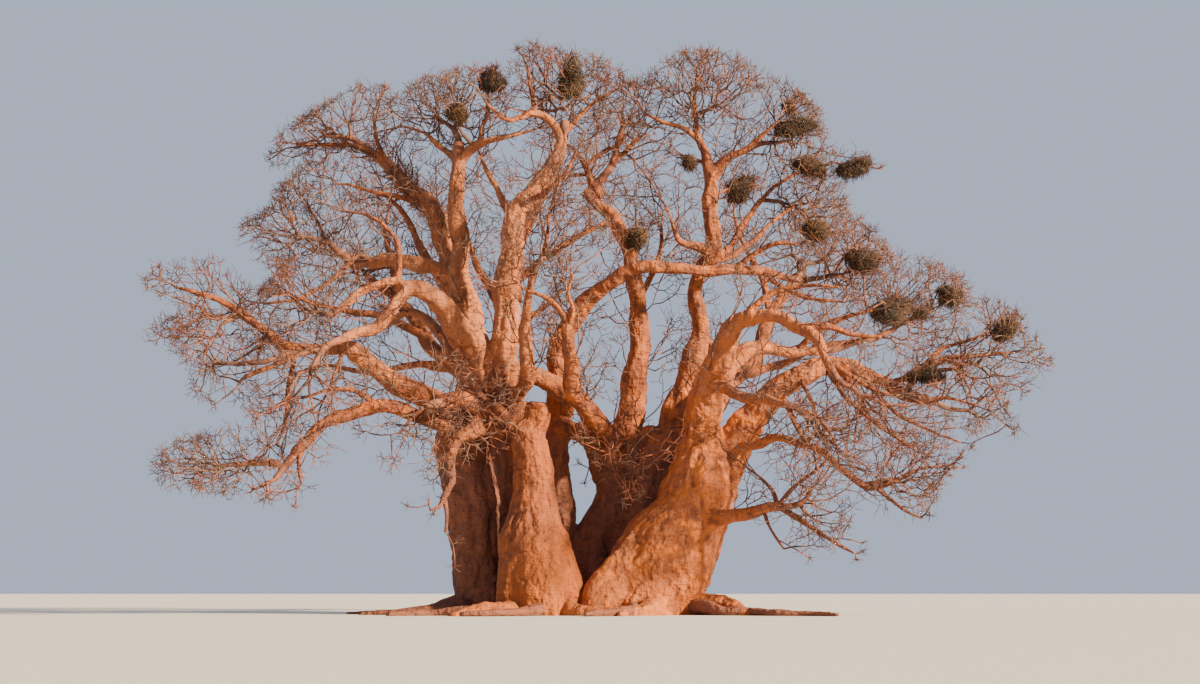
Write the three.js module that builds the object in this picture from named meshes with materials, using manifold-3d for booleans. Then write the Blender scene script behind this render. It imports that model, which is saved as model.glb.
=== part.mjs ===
// A leafless baobab: seven stems fused at the foot, the boughs they carry and the bare twigs of its crown.
// Millimetres, +Z up. The origin is at ground level in the middle of the stems. -Y is the front.
import * as THREE from 'three';
import { mergeVertices } from 'three/addons/utils/BufferGeometryUtils.js';
import Module from 'manifold-3d';

const wasm = await Module();
wasm.setup();

// Driving sizes. Tables give metres, and METRE turns them into millimetres.
const METRE = 1000;
const EYE_BACK = 75;          // how far in front of the trunk the tree is looked at from
const EYE_HEIGHT = 0.85;      // height of that eye above the ground
const GAP = 0.0005;           // room between solids that meet
const STEM_SIDES = 10;
const BOUGH_SIDES = 7;
const THIN_BOUGH_SIDES = 5;
const THIN_BOUGH = 0.3;       // a bough that starts thinner than this has fewer sides
const STEM_RINGS = 2;         // rings of a stem from one given place to the next
const BOUGH_RINGS = 1;
const FLARE_HEIGHT = 1.1;     // the folds of the foot fade over this height
const FLARE_DEPTH = 0.13;     // depth of those folds as a share of the stem's radius
const FLARE_FOLDS = 4;
const TWIG_CLEAR = 0.03;      // room between a twig and a limb that it passes
const TWIG_SIDES = 3;
const TWIG_LEAST = 0.045;     // least radius at the root of a twig
const FORK_AT = 0.4;          // share of the way to its twigs' middle at which a branch forks
const FORK_POWER = 0.42;      // a fork's radius is its share of twigs to this power
const SHELL = 0.68;           // twigs end between this share of the mass's half size and all of it
const GOLDEN_ANGLE = 2.399963;
const STEM_SHARE = 0.92;      // a mass's stem loses the rest of its radius at each of its places
const STEM_STRAIGHT = 3;      // it runs straight on for this many of its radii
const STEM_LEAST = 0.35;      // and at least for this length
const SEED_STEP = 7919;       // each mass has its own seed

const colours = { bark: 0xb98a66, palest: 0xd2a67c, twig: 0x7f6a60 };

// A place is given as across, up and back. Across and up are read on the upright plane through the trunk,
// as the eye sees them, and back is the real depth, so a place slides along the line of sight.
function seen([across, up, back]) {
  const spread = (EYE_BACK + back) / EYE_BACK;
  return new THREE.Vector3(across * spread, back, EYE_HEIGHT + (up - EYE_HEIGHT) * spread);
}

// The same for a limb's place, which has its radius as the fourth number.
function limbPlace(place) {
  const spread = (EYE_BACK + place[2]) / EYE_BACK;
  return { at: seen(place), radius: place[3] * spread };
}

// Stems, from below the ground, where the flat cut takes them off, to their fork or broken top.
// The first named is whole, and each later one is cut clear of those before it.
const stems = {
  middle: { route: [[0, -0.8, 0, 1.1], [0, 0, 0, 0.98], [0.07, 2.23, 0.3, 0.68], [0.65, 4.03, 0.5, 0.64],
    [1.1, 5.65, 0.7, 0.8], [1.45, 6.5, 0.8, 0.72]],
    roots: [[[0.3, 2.3, -0.1, 0.36], [0.25, 1.2, -1.0, 0.34], [0.15, 0.3, -2.0, 0.28],
      [0.1, -0.06, -3.0, 0.16]]] },
  right: { route: [[1.5, -0.8, -1.6, 2.25], [1.75, 0, -1.6, 2.0], [2.7, 2.23, -1.5, 1.86],
    [3.55, 4.03, -1.4, 1.52], [4.1, 5.3, -1.4, 1.24], [4.0, 6.6, -1.6, 0.66]],
    roots: [[[1.6, 2.1, -2.2, 0.75], [0.9, 1.1, -2.9, 0.6], [0.35, 0.35, -3.4, 0.4], [0.0, -0.06, -4.2, 0.2]],
    [[3.6, 0.35, -2.0, 0.6], [4.9, 0.1, -2.9, 0.38], [5.6, 0.0, -3.9, 0.26],
      [6.9, -0.06, -4.2, 0.13]],
    [[2.3, 0.35, -2.6, 0.6], [2.1, 0.1, -3.9, 0.36], [1.3, 0.0, -4.7, 0.24], [1.1, -0.06, -5.7, 0.13]]] },
  front_left: { route: [[-1.8, -0.8, -2.6, 1.75], [-1.82, 0, -2.6, 1.5], [-1.94, 1.87, -2.5, 1.19],
    [-2.05, 4.03, -2.4, 1.0], [-2.14, 5.47, -2.3, 0.84], [-2.03, 6.5, -2.2, 0.7], [-1.82, 7.55, -2.1, 0.52]],
    roots: [[[-2.5, 0.35, -3.2, 0.6], [-3.2, 0.1, -4.3, 0.36], [-4.3, 0.0, -4.8, 0.24],
      [-4.9, -0.06, -5.8, 0.13]],
    [[-1.2, 0.3, -3.2, 0.5], [-0.6, 0.08, -4.2, 0.3], [0.2, 0.0, -4.7, 0.22], [0.3, -0.06, -5.6, 0.12]]] },
  left: { route: [[-3.65, -0.8, -0.4, 1.25], [-3.7, 0, -0.4, 1.08], [-3.96, 1.87, -0.4, 0.88],
    [-4.14, 4.03, -0.3, 0.92], [-4.43, 5.83, -0.2, 1.05], [-4.32, 7.27, 0, 0.9], [-4.03, 8.35, 0.2, 0.62]],
    roots: [[[-4.3, 0.35, -0.8, 0.5], [-5.3, 0.1, -1.4, 0.34], [-5.9, 0.0, -2.3, 0.24],
      [-7.0, -0.06, -2.7, 0.13]],
    [[-4.2, 0.3, 0.1, 0.45], [-5.4, 0.08, 0.5, 0.28], [-6.4, 0.0, 1.3, 0.18], [-7.2, -0.06, 1.4, 0.1]]] },
  inner_right: { route: [[0.95, -0.8, 0.5, 1.1], [0.95, 0, 0.5, 0.98], [1.15, 2.05, 0.6, 0.8],
    [1.98, 4.03, 0.5, 0.8], [2.5, 5.65, 0.4, 0.82], [3.0, 6.9, 0.5, 0.58], [3.53, 8.53, 0.6, 0.45],
    [3.96, 9.8, 0.6, 0.34]] },
  inner_left: { route: [[-0.9, -0.8, 0.3, 0.98], [-0.9, 0, 0.3, 0.88], [-0.97, 2.6, 0.5, 0.66],
    [-1.08, 4.75, 0.6, 0.5], [-1.08, 6.9, 0.7, 0.42]] },
  back: { route: [[-2.3, -0.8, 2.3, 2.0], [-2.35, 0, 2.3, 1.7], [-2.6, 2.2, 2.4, 1.25], [-2.7, 4.2, 2.7, 1.0],
    [-2.75, 6.0, 3.0, 0.82], [-2.8, 7.3, 3.3, 0.62]],
    roots: [[[-1.3, 0.35, 3.0, 0.6], [-0.2, 0.1, 3.7, 0.36], [0.4, 0.0, 4.7, 0.24], [1.6, -0.06, 5.1, 0.13]],
    [[-3.4, 0.35, 2.8, 0.55], [-4.4, 0.1, 3.7, 0.34], [-5.5, 0.0, 3.9, 0.22], [-6.1, -0.06, 4.8, 0.12]]] },
};

// Boughs. Each starts sunk in the limb that bears it, and is cut clear of it.
const boughs = {
  arch_left: [[-3.85, 7.6, -0.3, 0.6], [-4.03, 9.25, -0.8, 0.53], [-4.57, 10.22, -1.2, 0.5],
    [-5.33, 11.12, -1.7, 0.45], [-6.12, 11.56, -2.2, 0.36], [-6.84, 11.56, -2.6, 0.27]],
  arch_left_drop: [[-6.6, 11.55, -2.5, 0.25], [-7.31, 10.8, -3.2, 0.24], [-7.78, 10.19, -3.7, 0.21],
    [-8.57, 9.97, -4.3, 0.18], [-9.18, 9.72, -4.8, 0.14]],
  upper_left: [[-6.5, 11.6, -2.4, 0.2], [-7.0, 11.9, -2.5, 0.18], [-7.74, 11.74, -2.6, 0.165],
    [-8.39, 11.45, -2.8, 0.15], [-9.0, 10.94, -3.0, 0.13]],
  reach_left: [[-4.5, 6.5, -0.6, 0.55], [-5.94, 7.7, -1.4, 0.42], [-7.02, 8.35, -1.9, 0.38],
    [-8.03, 9.07, -2.3, 0.33], [-8.82, 9.54, -2.6, 0.26], [-9.79, 9.47, -3.0, 0.2],
    [-10.55, 9.32, -3.2, 0.15]],
  lowest_left: [[-4.6, 6.35, -1.0, 0.38], [-6.3, 7.2, -2.4, 0.27], [-7.56, 7.34, -3.2, 0.25],
    [-8.64, 7.16, -3.8, 0.24], [-9.54, 6.73, -4.2, 0.22], [-10.19, 6.08, -4.5, 0.2],
    [-10.62, 5.58, -4.7, 0.16]],
  tall_left: [[-4.1, 8.0, 0.3, 0.6], [-4.32, 10.33, 0.9, 0.48], [-4.61, 11.77, 1.1, 0.4],
    [-4.75, 13.39, 1.1, 0.33], [-4.82, 14.83, 1.0, 0.29], [-4.79, 16.27, 0.9, 0.25]],
  leaning_left: [[-4.65, 11.2, 1.1, 0.36], [-4.97, 11.95, 1.5, 0.36], [-5.36, 13.57, 2.2, 0.36],
    [-5.83, 14.58, 2.7, 0.35], [-6.55, 15.37, 3.2, 0.32], [-7.27, 16.09, 3.6, 0.25],
    [-7.92, 16.63, 3.9, 0.16]],
  broken_left: [[-5.0, 12.15, 1.4, 0.28], [-5.6, 12.4, 1.2, 0.28], [-6.3, 12.6, 1.3, 0.26],
    [-7.2, 12.74, 1.6, 0.25], [-7.99, 12.6, 1.9, 0.2]],
  tall_centre: [[-3.6, 6.4, -0.5, 0.62], [-3.06, 7.63, -0.8, 0.58], [-3.13, 9.43, -0.9, 0.5],
    [-2.95, 11.23, -0.9, 0.47], [-2.81, 12.85, -0.8, 0.44], [-2.63, 14.11, -0.7, 0.4],
    [-2.16, 15.01, -0.6, 0.36], [-1.62, 15.84, -0.5, 0.31],
    [-1.19, 16.63, -0.4, 0.25], [-1.01, 17.35, -0.4, 0.17]],
  slim_centre: [[-2.9, 7.5, -1.1, 0.3], [-2.3, 8.4, -2.0, 0.28], [-2.3, 9.43, -2.4, 0.25],
    [-2.34, 10.51, -2.8, 0.2], [-2.16, 11.77, -3.3, 0.13]],
  diagonal: [[-1.08, 6.7, 0.7, 0.41], [-1.22, 8.53, 0.6, 0.37], [-1.01, 9.86, 0.4, 0.33],
    [-0.36, 10.87, 0.1, 0.31], [0.58, 11.66, -0.3, 0.28], [1.3, 12.25, -0.7, 0.25]],
  crossing: [[1.0, 12.03, -0.5, 0.23], [1.6, 12.42, -0.85, 0.23], [2.7, 12.42, -0.9, 0.22],
    [3.96, 12.31, -0.8, 0.2], [5.22, 12.38, -0.2, 0.18], [6.3, 12.31, 0.6, 0.16], [7.38, 12.02, 1.2, 0.12]],
  middle: [[1.33, 6.3, 0.8, 0.5], [1.51, 7.63, 1.0, 0.44], [1.69, 9.07, 1.1, 0.38], [1.69, 10.51, 1.2, 0.34],
    [1.53, 12.2, 1.2, 0.3], [1.33, 13.39, 1.2, 0.29], [0.83, 14.22, 1.3, 0.25], [0.25, 14.76, 1.4, 0.18]],
  rising_front: [[1.05, 5.95, 0.5, 0.4], [0.75, 6.25, -0.4, 0.42], [0.19, 6.78, -1.3, 0.4],
    [-0.26, 7.44, -2.2, 0.36], [-0.6, 8.3, -3.1, 0.31], [-0.78, 9.4, -3.9, 0.26], [-0.8, 10.4, -4.5, 0.18]],
  hanging_broken: [[-3.9, 6.95, -0.5, 0.34], [-3.85, 7.0, -1.7, 0.31], [-4.3, 6.5, -2.6, 0.28],
    [-4.9, 6.08, -3.3, 0.24], [-5.02, 5.3, -3.7, 0.2], [-4.98, 4.7, -3.8, 0.17], [-5.3, 3.85, -4.0, 0.1]],
  stub_front: [[-3.9, 7.6, -0.6, 0.38], [-4.1, 7.5, -1.7, 0.34], [-4.7, 7.62, -2.5, 0.31],
    [-5.3, 7.48, -3.1, 0.27]],
  arch_right: [[4.0, 6.4, -1.6, 0.6], [4.18, 7.81, -2.2, 0.56], [4.39, 8.71, -2.6, 0.52],
    [4.75, 9.61, -3.1, 0.45], [5.33, 10.33, -3.6, 0.34], [6.01, 10.76, -4.1, 0.25]],
  arch_right_drop: [[5.75, 10.62, -3.9, 0.24], [6.77, 10.73, -4.6, 0.24], [7.45, 10.3, -5.0, 0.22],
    [8.06, 9.86, -5.4, 0.2], [8.42, 9.25, -5.7, 0.17], [8.75, 8.64, -6.0, 0.13]],
  behind_right: [[4.1, 6.9, -1.7, 0.5], [4.6, 7.9, -0.5, 0.45], [4.97, 8.82, 0.4, 0.37],
    [5.69, 9.36, 1.2, 0.32], [6.48, 9.54, 2.0, 0.25], [7.38, 9.32, 2.8, 0.2], [8.6, 9.45, 3.5, 0.14]],
  reach_right: [[4.2, 4.7, -1.3, 0.85], [5.33, 6.19, -1.4, 0.64], [6.3, 7.52, -1.5, 0.5],
    [7.56, 8.42, -1.7, 0.4], [8.93, 8.82, -1.8, 0.33], [10.0, 8.53, -1.9, 0.26], [10.9, 8.14, -2.0, 0.17]],
  shelf_right: [[4.35, 8.2, -2.7, 0.24], [5.4, 7.78, -4.4, 0.2], [6.3, 7.63, -5.6, 0.18],
    [7.09, 7.45, -6.6, 0.13]],
  winding_right: [[5.3, 6.0, -1.6, 0.22], [5.83, 5.98, -2.4, 0.17], [6.7, 6.26, -3.0, 0.15],
    [7.56, 6.08, -3.5, 0.14], [8.35, 5.72, -3.9, 0.13], [9.07, 5.11, -4.3, 0.11]],
  lowest_right: [[4.0, 3.4, -2.0, 0.34], [5.4, 3.49, -3.2, 0.25], [6.3, 3.71, -3.9, 0.19],
    [6.9, 3.8, -4.3, 0.14]],
  tall_right: [[3.9, 9.5, 0.6, 0.33], [3.96, 10.33, 0.6, 0.3], [3.71, 11.34, 0.6, 0.28],
    [3.96, 12.24, 0.6, 0.28], [4.39, 13.03, 0.6, 0.31], [4.32, 14.29, 0.6, 0.29], [4.39, 15.55, 0.7, 0.26],
    [4.25, 16.27, 0.8, 0.2], [3.96, 17.17, 0.9, 0.13]],
  top_right: [[4.37, 15.5, 0.7, 0.2], [4.75, 16.2, 1.0, 0.17], [5.22, 16.56, 1.3, 0.15],
    [5.94, 16.88, 1.7, 0.11]],
  slant_right: [[4.35, 12.8, 0.6, 0.2], [4.82, 12.95, 1.3, 0.16], [5.15, 13.36, 2.0, 0.14],
    [5.62, 14.11, 2.8, 0.12], [6.05, 14.72, 3.4, 0.1]],
  back_left: [[-2.8, 5.9, 3.0, 0.46], [-3.6, 7.9, 4.6, 0.38], [-5.4, 9.2, 5.6, 0.3], [-6.6, 10.9, 7.2, 0.22],
    [-7.8, 11.9, 8.3, 0.14]],
  back_centre: [[-2.8, 6.9, 3.2, 0.42], [-3.2, 9.4, 4.4, 0.36], [-2.8, 11.6, 5.6, 0.3],
    [-2.5, 13.6, 6.1, 0.22], [-1.7, 15.2, 7.2, 0.15]],
  back_right: [[3.1, 5.6, 0.4, 0.44], [4.2, 7.7, 2.6, 0.38], [5.7, 8.8, 4.6, 0.3], [6.6, 10.8, 6.0, 0.22],
    [7.5, 12.1, 7.6, 0.14]],
};

// Masses of twigs: the bough that bears the mass, its middle and half sizes across, up and back, the number
// of twigs, the way its stem runs on past the bough's tip, tips it has to reach, and nests with half sizes.
const masses = {
  far_left: { on: 'reach_left', middle: [-13.25, 10.15, -3.4], half: [3.1, 2.7, 2.8], twigs: 13,
    stem: [[-11.34, 9.9, -3.3], [-12.42, 10.76, -3.4]],
    tips: [[-15.95, 12.0, -3.6], [-16.1, 9.8, -3.4], [-14.5, 7.56, -3.2]] },
  drop_left: { on: 'arch_left_drop', middle: [-10.3, 8.1, -5.4], half: [1.8, 1.9, 1.7], twigs: 8,
    tips: [[-11.4, 6.2, -5.6]] },
  low_left: { on: 'lowest_left', middle: [-13.0, 5.2, -5.0], half: [2.9, 1.5, 2.2], twigs: 10,
    stem: [[-11.45, 5.4, -4.9]], tips: [[-15.6, 5.4, -5.0], [-15.3, 4.45, -5.2]] },
  inner_left: { on: 'upper_left', middle: [-10.4, 11.1, -3.2], half: [1.7, 1.6, 1.9], twigs: 8 },
  shoulder_left: { on: 'broken_left', middle: [-10.4, 13.8, 2.4], half: [2.9, 2.4, 2.7], twigs: 12,
    stem: [[-8.9, 12.9, 2.1]], tips: [[-12.9, 13.4, 2.4], [-11.7, 15.55, 2.2]] },
  crest_left: { on: 'leaning_left', middle: [-9.5, 17.4, 4.3], half: [2.6, 1.8, 2.4], twigs: 11,
    tips: [[-11.8, 16.6, 4.3], [-10.1, 18.4, 4.3], [-8.0, 19.2, 4.1]] },
  top_left: { on: 'tall_left', middle: [-5.3, 18.0, 0.9], half: [2.4, 1.7, 2.3], twigs: 11,
    tips: [[-5.9, 19.7, 0.9], [-4.0, 19.9, 0.9]],
    nests: [[-3.6, 19.3, 0.6, 0.5, 0.43], [-4.86, 18.1, -0.2, 0.4, 0.34]] },
  top_centre: { on: 'tall_centre', middle: [-1.1, 18.7, -0.4], half: [2.3, 1.8, 2.4], twigs: 11,
    tips: [[-2.4, 20.7, -0.4], [-1.1, 20.5, -0.3], [0.6, 20.2, -0.3]],
    nests: [[-0.65, 19.4, -0.7, 0.5, 0.8]] },
  inner_centre: { on: 'slim_centre', middle: [-1.4, 13.3, -3.8], half: [1.3, 1.9, 1.6], twigs: 7 },
  top_middle: { on: 'middle', middle: [1.4, 17.3, 1.6], half: [1.8, 2.2, 2.1], twigs: 9,
    stem: [[0.18, 15.48, 1.5], [0.79, 16.16, 1.6]], tips: [[1.8, 19.5, 1.6]] },
  top_right: { on: 'tall_right', middle: [4.2, 18.7, 1.0], half: [2.5, 1.7, 2.3], twigs: 11,
    tips: [[2.4, 20.0, 1.0], [4.0, 20.5, 1.0], [5.9, 20.0, 1.0]] },
  shoulder_right: { on: 'top_right', middle: [7.1, 17.0, 2.2], half: [2.1, 2.2, 2.3], twigs: 11,
    tips: [[7.3, 19.1, 2.2], [8.5, 18.0, 2.2], [10.5, 16.2, 2.5]],
    nests: [[7.38, 17.6, 1.2, 0.7, 0.4], [9.6, 16.1, 2.0, 0.62, 0.38]] },
  slant_right: { on: 'slant_right', middle: [7.6, 14.4, 4.0], half: [2.0, 1.5, 2.3], twigs: 9,
    tips: [[9.4, 14.9, 4.2], [10.0, 14.0, 4.2]], nests: [[8.2, 13.8, 3.4, 0.5, 0.4]] },
  crossing_right: { on: 'crossing', middle: [9.1, 12.3, 1.3], half: [2.2, 1.4, 2.2], twigs: 9,
    tips: [[10.9, 13.2, 1.5]], nests: [[9.8, 12.7, 0.8, 0.58, 0.4]] },
  behind_right: { on: 'behind_right', middle: [11.6, 10.9, 4.0], half: [2.7, 1.7, 2.4], twigs: 11,
    stem: [[10.26, 9.86, 3.8]], tips: [[12.8, 12.6, 4.2], [13.9, 11.6, 4.0]],
    nests: [[10.8, 10.84, 3.4, 0.76, 0.56], [13.0, 11.4, 3.8, 0.42, 0.36]] },
  far_right: { on: 'reach_right', middle: [13.8, 8.8, -2.2], half: [2.8, 2.4, 2.6], twigs: 13,
    stem: [[11.95, 8.82, -2.1], [12.78, 9.11, -2.1]],
    tips: [[15.7, 10.7, -2.4], [16.6, 9.1, -2.3], [15.3, 6.6, -2.2]],
    nests: [[15.0, 10.2, -2.4, 0.4, 0.35]] },
  arch_right: { on: 'arch_right_drop', middle: [10.3, 7.4, -6.3], half: [2.1, 1.8, 2.0], twigs: 9 },
  shelf_right: { on: 'shelf_right', middle: [8.0, 6.6, -8.0], half: [1.6, 1.4, 1.7], twigs: 8 },
  low_right: { on: 'winding_right', middle: [11.2, 4.7, -4.7], half: [2.0, 1.5, 2.0], twigs: 9,
    stem: [[9.8, 4.6, -4.5]], tips: [[13.3, 5.5, -4.8], [11.9, 3.4, -4.6]] },
  lowest_right: { on: 'lowest_right', middle: [7.9, 3.8, -4.9], half: [1.3, 1.8, 1.6], twigs: 8,
    tips: [[8.6, 2.4, -5.0], [8.7, 5.5, -5.0]] },
  thicket_left: { on: 'stub_front', middle: [-5.1, 7.1, -4.3], half: [2.4, 1.9, 1.4], twigs: 9 },
  back_left: { on: 'back_left', middle: [-8.0, 12.4, 8.7], half: [4.0, 3.1, 3.4], twigs: 13 },
  back_centre: { on: 'back_centre', middle: [-0.4, 15.8, 8.0], half: [3.9, 3.0, 3.2], twigs: 13 },
  back_right: { on: 'back_right', middle: [8.0, 12.8, 8.6], half: [3.8, 3.1, 3.4], twigs: 13 },
};

// Solids and meshes.
function solidOf(geometry) {
  const bare = geometry.clone();
  bare.deleteAttribute('normal');
  bare.deleteAttribute('uv');
  const merged = mergeVertices(bare, 1e-3);
  return new wasm.Manifold(new wasm.Mesh({
    numProp: 3,
    vertProperties: Float32Array.from(merged.attributes.position.array),
    triVerts: Uint32Array.from(merged.index.array),
  }));
}

function meshOf(name, solid, colour) {
  const { vertProperties, triVerts } = solid.getMesh();
  const geometry = new THREE.BufferGeometry();
  geometry.setAttribute('position', new THREE.BufferAttribute(vertProperties, 3));
  geometry.setIndex(new THREE.BufferAttribute(triVerts, 1));
  geometry.computeVertexNormals();
  const material = new THREE.MeshStandardMaterial({ color: colour, roughness: 0.9, metalness: 0 });
  const mesh = new THREE.Mesh(geometry, material);
  mesh.name = name;
  return mesh;
}

// Cutting can leave loose scraps: the largest piece is the limb or mass itself.
function largestPiece(solid) {
  const pieces = solid.decompose();
  return pieces.reduce((best, piece) => (piece.volume() > best.volume() ? piece : best));
}

// Numbers between 0 and 1 in an order that the seed settles.
function seededNumbers(seed) {
  let state = seed >>> 0;
  return () => {
    state = (Math.imul(state, 1664525) + 1013904223) >>> 0;
    return state / 4294967296;
  };
}

// Limbs. A limb is a round bar bent along a curve through its places, with a radius that follows them.
function limbCurve(places) {
  const curve = new THREE.CatmullRomCurve3(places.map((place) => place.at), false, 'centripetal');
  const radiusAt = (t) => {
    const span = Math.min(Math.floor(t * (places.length - 1)), places.length - 2);
    const share = t * (places.length - 1) - span;
    return THREE.MathUtils.lerp(places[span].radius, places[span + 1].radius, share);
  };
  return { curve, radiusAt };
}

// An axis well away from the limb's own direction, so that its rings never twist.
function crossAxis(along) {
  const axes = [new THREE.Vector3(1, 0, 0), new THREE.Vector3(0, 1, 0), new THREE.Vector3(0, 0, 1)];
  return axes.reduce((best, axis) => (Math.abs(axis.dot(along)) < Math.abs(best.dot(along)) ? axis : best));
}

// margin makes the copy that neighbours are cut with, folds gives a stem's foot its folds, and startAlong
// turns the first ring to face another limb's end. A limb whose last radius is 0 comes to a point.
function limbSolid(places, { sides, rings = BOUGH_RINGS, margin = 0, folds = false, startAlong = null }) {
  const { curve, radiusAt } = limbCurve(places);
  const pointed = places[places.length - 1].radius === 0;
  const bar = new THREE.CylinderGeometry(pointed ? 0 : 1, 1, 1, sides, (places.length - 1) * rings);
  const ends = places[places.length - 1].at.clone().sub(places[0].at).normalize();
  const reference = crossAxis(ends);
  const position = bar.attributes.position;
  const point = new THREE.Vector3();
  for (let i = 0; i < position.count; i += 1) {
    point.fromBufferAttribute(position, i);
    const t = THREE.MathUtils.clamp(point.y + 0.5, 0, 1);
    const out = Math.hypot(point.x, point.z) < 1e-6 ? 0 : 1;
    const angle = Math.atan2(point.z, point.x);
    const along = t === 0 && startAlong ? startAlong : curve.getTangent(t);
    const side = new THREE.Vector3().crossVectors(along, reference).normalize();
    const front = new THREE.Vector3().crossVectors(side, along);
    const centre = curve.getPoint(t);
    const height = Math.max(centre.z, 0);
    const fold = folds ? FLARE_DEPTH * Math.cos(FLARE_FOLDS * angle) * Math.exp(-height / FLARE_HEIGHT) : 0;
    const radius = out * (radiusAt(t) * (1 + fold) + margin);
    centre.addScaledVector(side, radius * Math.cos(angle));
    centre.addScaledVector(front, radius * Math.sin(angle));
    if (t === 0) centre.addScaledVector(along, -margin);
    if (t === 1) centre.addScaledVector(along, margin);
    centre.multiplyScalar(METRE);
    position.setXYZ(i, centre.x, centre.y, centre.z);
  }
  return solidOf(bar);
}

// What lies under the ground is cut away, which leaves the foot flat.
const GROUND_BLOCK = new THREE.BoxGeometry(40 * METRE, 40 * METRE, 4 * METRE).translate(0, 0, -2 * METRE);
const underground = solidOf(GROUND_BLOCK);

function stemSolid({ route, roots = [] }, margin = 0) {
  let solid = limbSolid(route.map(limbPlace), { sides: STEM_SIDES, rings: STEM_RINGS, margin, folds: true });
  for (const root of roots) {
    solid = solid.add(limbSolid(root.map(limbPlace), { sides: THIN_BOUGH_SIDES, margin }));
  }
  return solid;
}

function boughSolid(route, margin = 0) {
  const sides = route[0][3] < THIN_BOUGH ? THIN_BOUGH_SIDES : BOUGH_SIDES;
  return limbSolid(route.map(limbPlace), { sides, margin });
}

// Straight stretches with a radius stand for the limbs where twigs have to pass them.
function stretchesOf(places) {
  return places.slice(1).map((place, i) => ({ from: places[i].at, to: place.at, radius: places[i].radius }));
}

// Least distance between two straight stretches, by moving each one's nearest point in turn.
const nearestSteps = 12;
function distanceBetween(a, b) {
  const lineA = new THREE.Line3(a.from, a.to);
  const lineB = new THREE.Line3(b.from, b.to);
  const onA = a.from.clone().lerp(a.to, 0.5);
  const onB = new THREE.Vector3();
  for (let i = 0; i < nearestSteps; i += 1) {
    lineB.closestPointToPoint(onA, true, onB);
    lineA.closestPointToPoint(onB, true, onA);
  }
  return onA.distanceTo(onB);
}

// A mass's own space: the side towards its middle of the plane between it and each other mass.
function boundsOf(name) {
  const own = masses[name];
  const middle = seen(own.middle);
  const reach = (mass) => (mass.half[0] + mass.half[1] + mass.half[2]) / 3;
  return Object.keys(masses).filter((other) => other !== name).map((other) => {
    const towards = seen(masses[other].middle).sub(middle);
    const far = towards.length();
    const share = (far * far + reach(own) ** 2 - reach(masses[other]) ** 2) / (2 * far);
    return { normal: towards.divideScalar(far), limit: share, middle };
  });
}

function insideSpace(point, bounds, margin) {
  return bounds.every(({ normal, limit, middle }) => point.clone().sub(middle).dot(normal) < limit - margin);
}

// The places where a mass's twigs end: spread over its shell by the golden angle, then the given tips.
function twigEnds(mass, random) {
  const middle = seen(mass.middle);
  const ends = [];
  for (let i = 0; i < mass.twigs; i += 1) {
    const up = 1 - (2 * (i + 0.5)) / mass.twigs;
    const turn = i * GOLDEN_ANGLE + 0.6 * random();
    const out = Math.sqrt(1 - up * up);
    const share = SHELL + (1 - SHELL) * random();
    ends.push(new THREE.Vector3(
      middle.x + mass.half[0] * share * out * Math.cos(turn),
      middle.y + mass.half[2] * share * out * Math.sin(turn),
      middle.z + mass.half[1] * share * up,
    ));
  }
  return ends.concat((mass.tips ?? []).map(seen), (mass.nests ?? []).map(seen));
}

// The ends are parted in two along the axis on which they spread most.
function partEnds(ends, random) {
  const spread = (axis) => {
    const values = ends.map((end) => end[axis]);
    return Math.max(...values) - Math.min(...values);
  };
  const axis = ['x', 'y', 'z'].reduce((best, next) => (spread(next) > spread(best) ? next : best));
  const sorted = [...ends].sort((a, b) => a[axis] - b[axis]);
  const cut = Math.round(sorted.length * (0.38 + 0.24 * random()));
  const first = Math.min(Math.max(cut, 1), sorted.length - 1);
  return [sorted.slice(0, first), sorted.slice(first)];
}

// A branch grows towards the middle of its ends and forks on the way. The larger part of the ends stays
// with the branch, the smaller part gets a new one, and each end is the point of one branch.
function growTwigs(branch, ends, random, fits, twigs) {
  const last = branch[branch.length - 1];
  if (ends.length === 1) {
    const point = { at: ends[0], radius: 0 };
    if (fits(last, point)) twigs.push([...branch, point]);
    else if (branch.length > 1) twigs.push(branch);
    return;
  }
  const middle = new THREE.Vector3();
  ends.forEach((end) => middle.addScaledVector(end, 1 / ends.length));
  const [some, others] = partEnds(ends, random);
  const [larger, smaller] = some.length < others.length ? [others, some] : [some, others];
  const thinner = (part) => Math.max(last.radius * (part.length / ends.length) ** FORK_POWER, TWIG_LEAST);
  const fork = { at: last.at.clone().lerp(middle, FORK_AT), radius: thinner(larger) };
  if (!fits(last, fork)) {
    if (branch.length > 1) twigs.push(branch);
    return;
  }
  growTwigs([...branch, fork], larger, random, fits, twigs);
  growTwigs([{ at: fork.at, radius: thinner(smaller) * 0.9 }], smaller, random, fits, twigs);
}

// A weaver bird's nest: a lump of sticks, wider than it is deep.
function nestSolid(nest) {
  const [, , back, wide, tall] = nest;
  const spread = (EYE_BACK + back) / EYE_BACK;
  const at = seen(nest);
  const lump = new THREE.IcosahedronGeometry(1, 1);
  lump.scale(wide * spread * METRE, wide * spread * METRE, tall * spread * METRE);
  lump.translate(at.x * METRE, at.y * METRE, at.z * METRE);
  return solidOf(lump);
}

// The stem of a mass runs on from its bough's tip, in line with it.
function massStem(mass) {
  const places = boughs[mass.on].map(limbPlace);
  const { curve } = limbCurve(places);
  const along = curve.getTangent(1);
  const start = curve.getPoint(1).addScaledVector(along, GAP);
  const radius = places[places.length - 1].radius * STEM_SHARE;
  const straight = start.clone().addScaledVector(along, Math.max(STEM_STRAIGHT * radius, STEM_LEAST));
  const stem = [start, straight, ...(mass.stem ?? []).map(seen)];
  return { along, places: stem.map((at, i) => ({ at, radius: radius * STEM_SHARE ** i })) };
}

function nestStretches(mass) {
  return (mass.nests ?? []).map((nest) => {
    const at = seen(nest);
    return { from: at, to: at.clone().add(new THREE.Vector3(0, 0, GAP)), radius: Math.max(nest[3], nest[4]) };
  });
}

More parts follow.
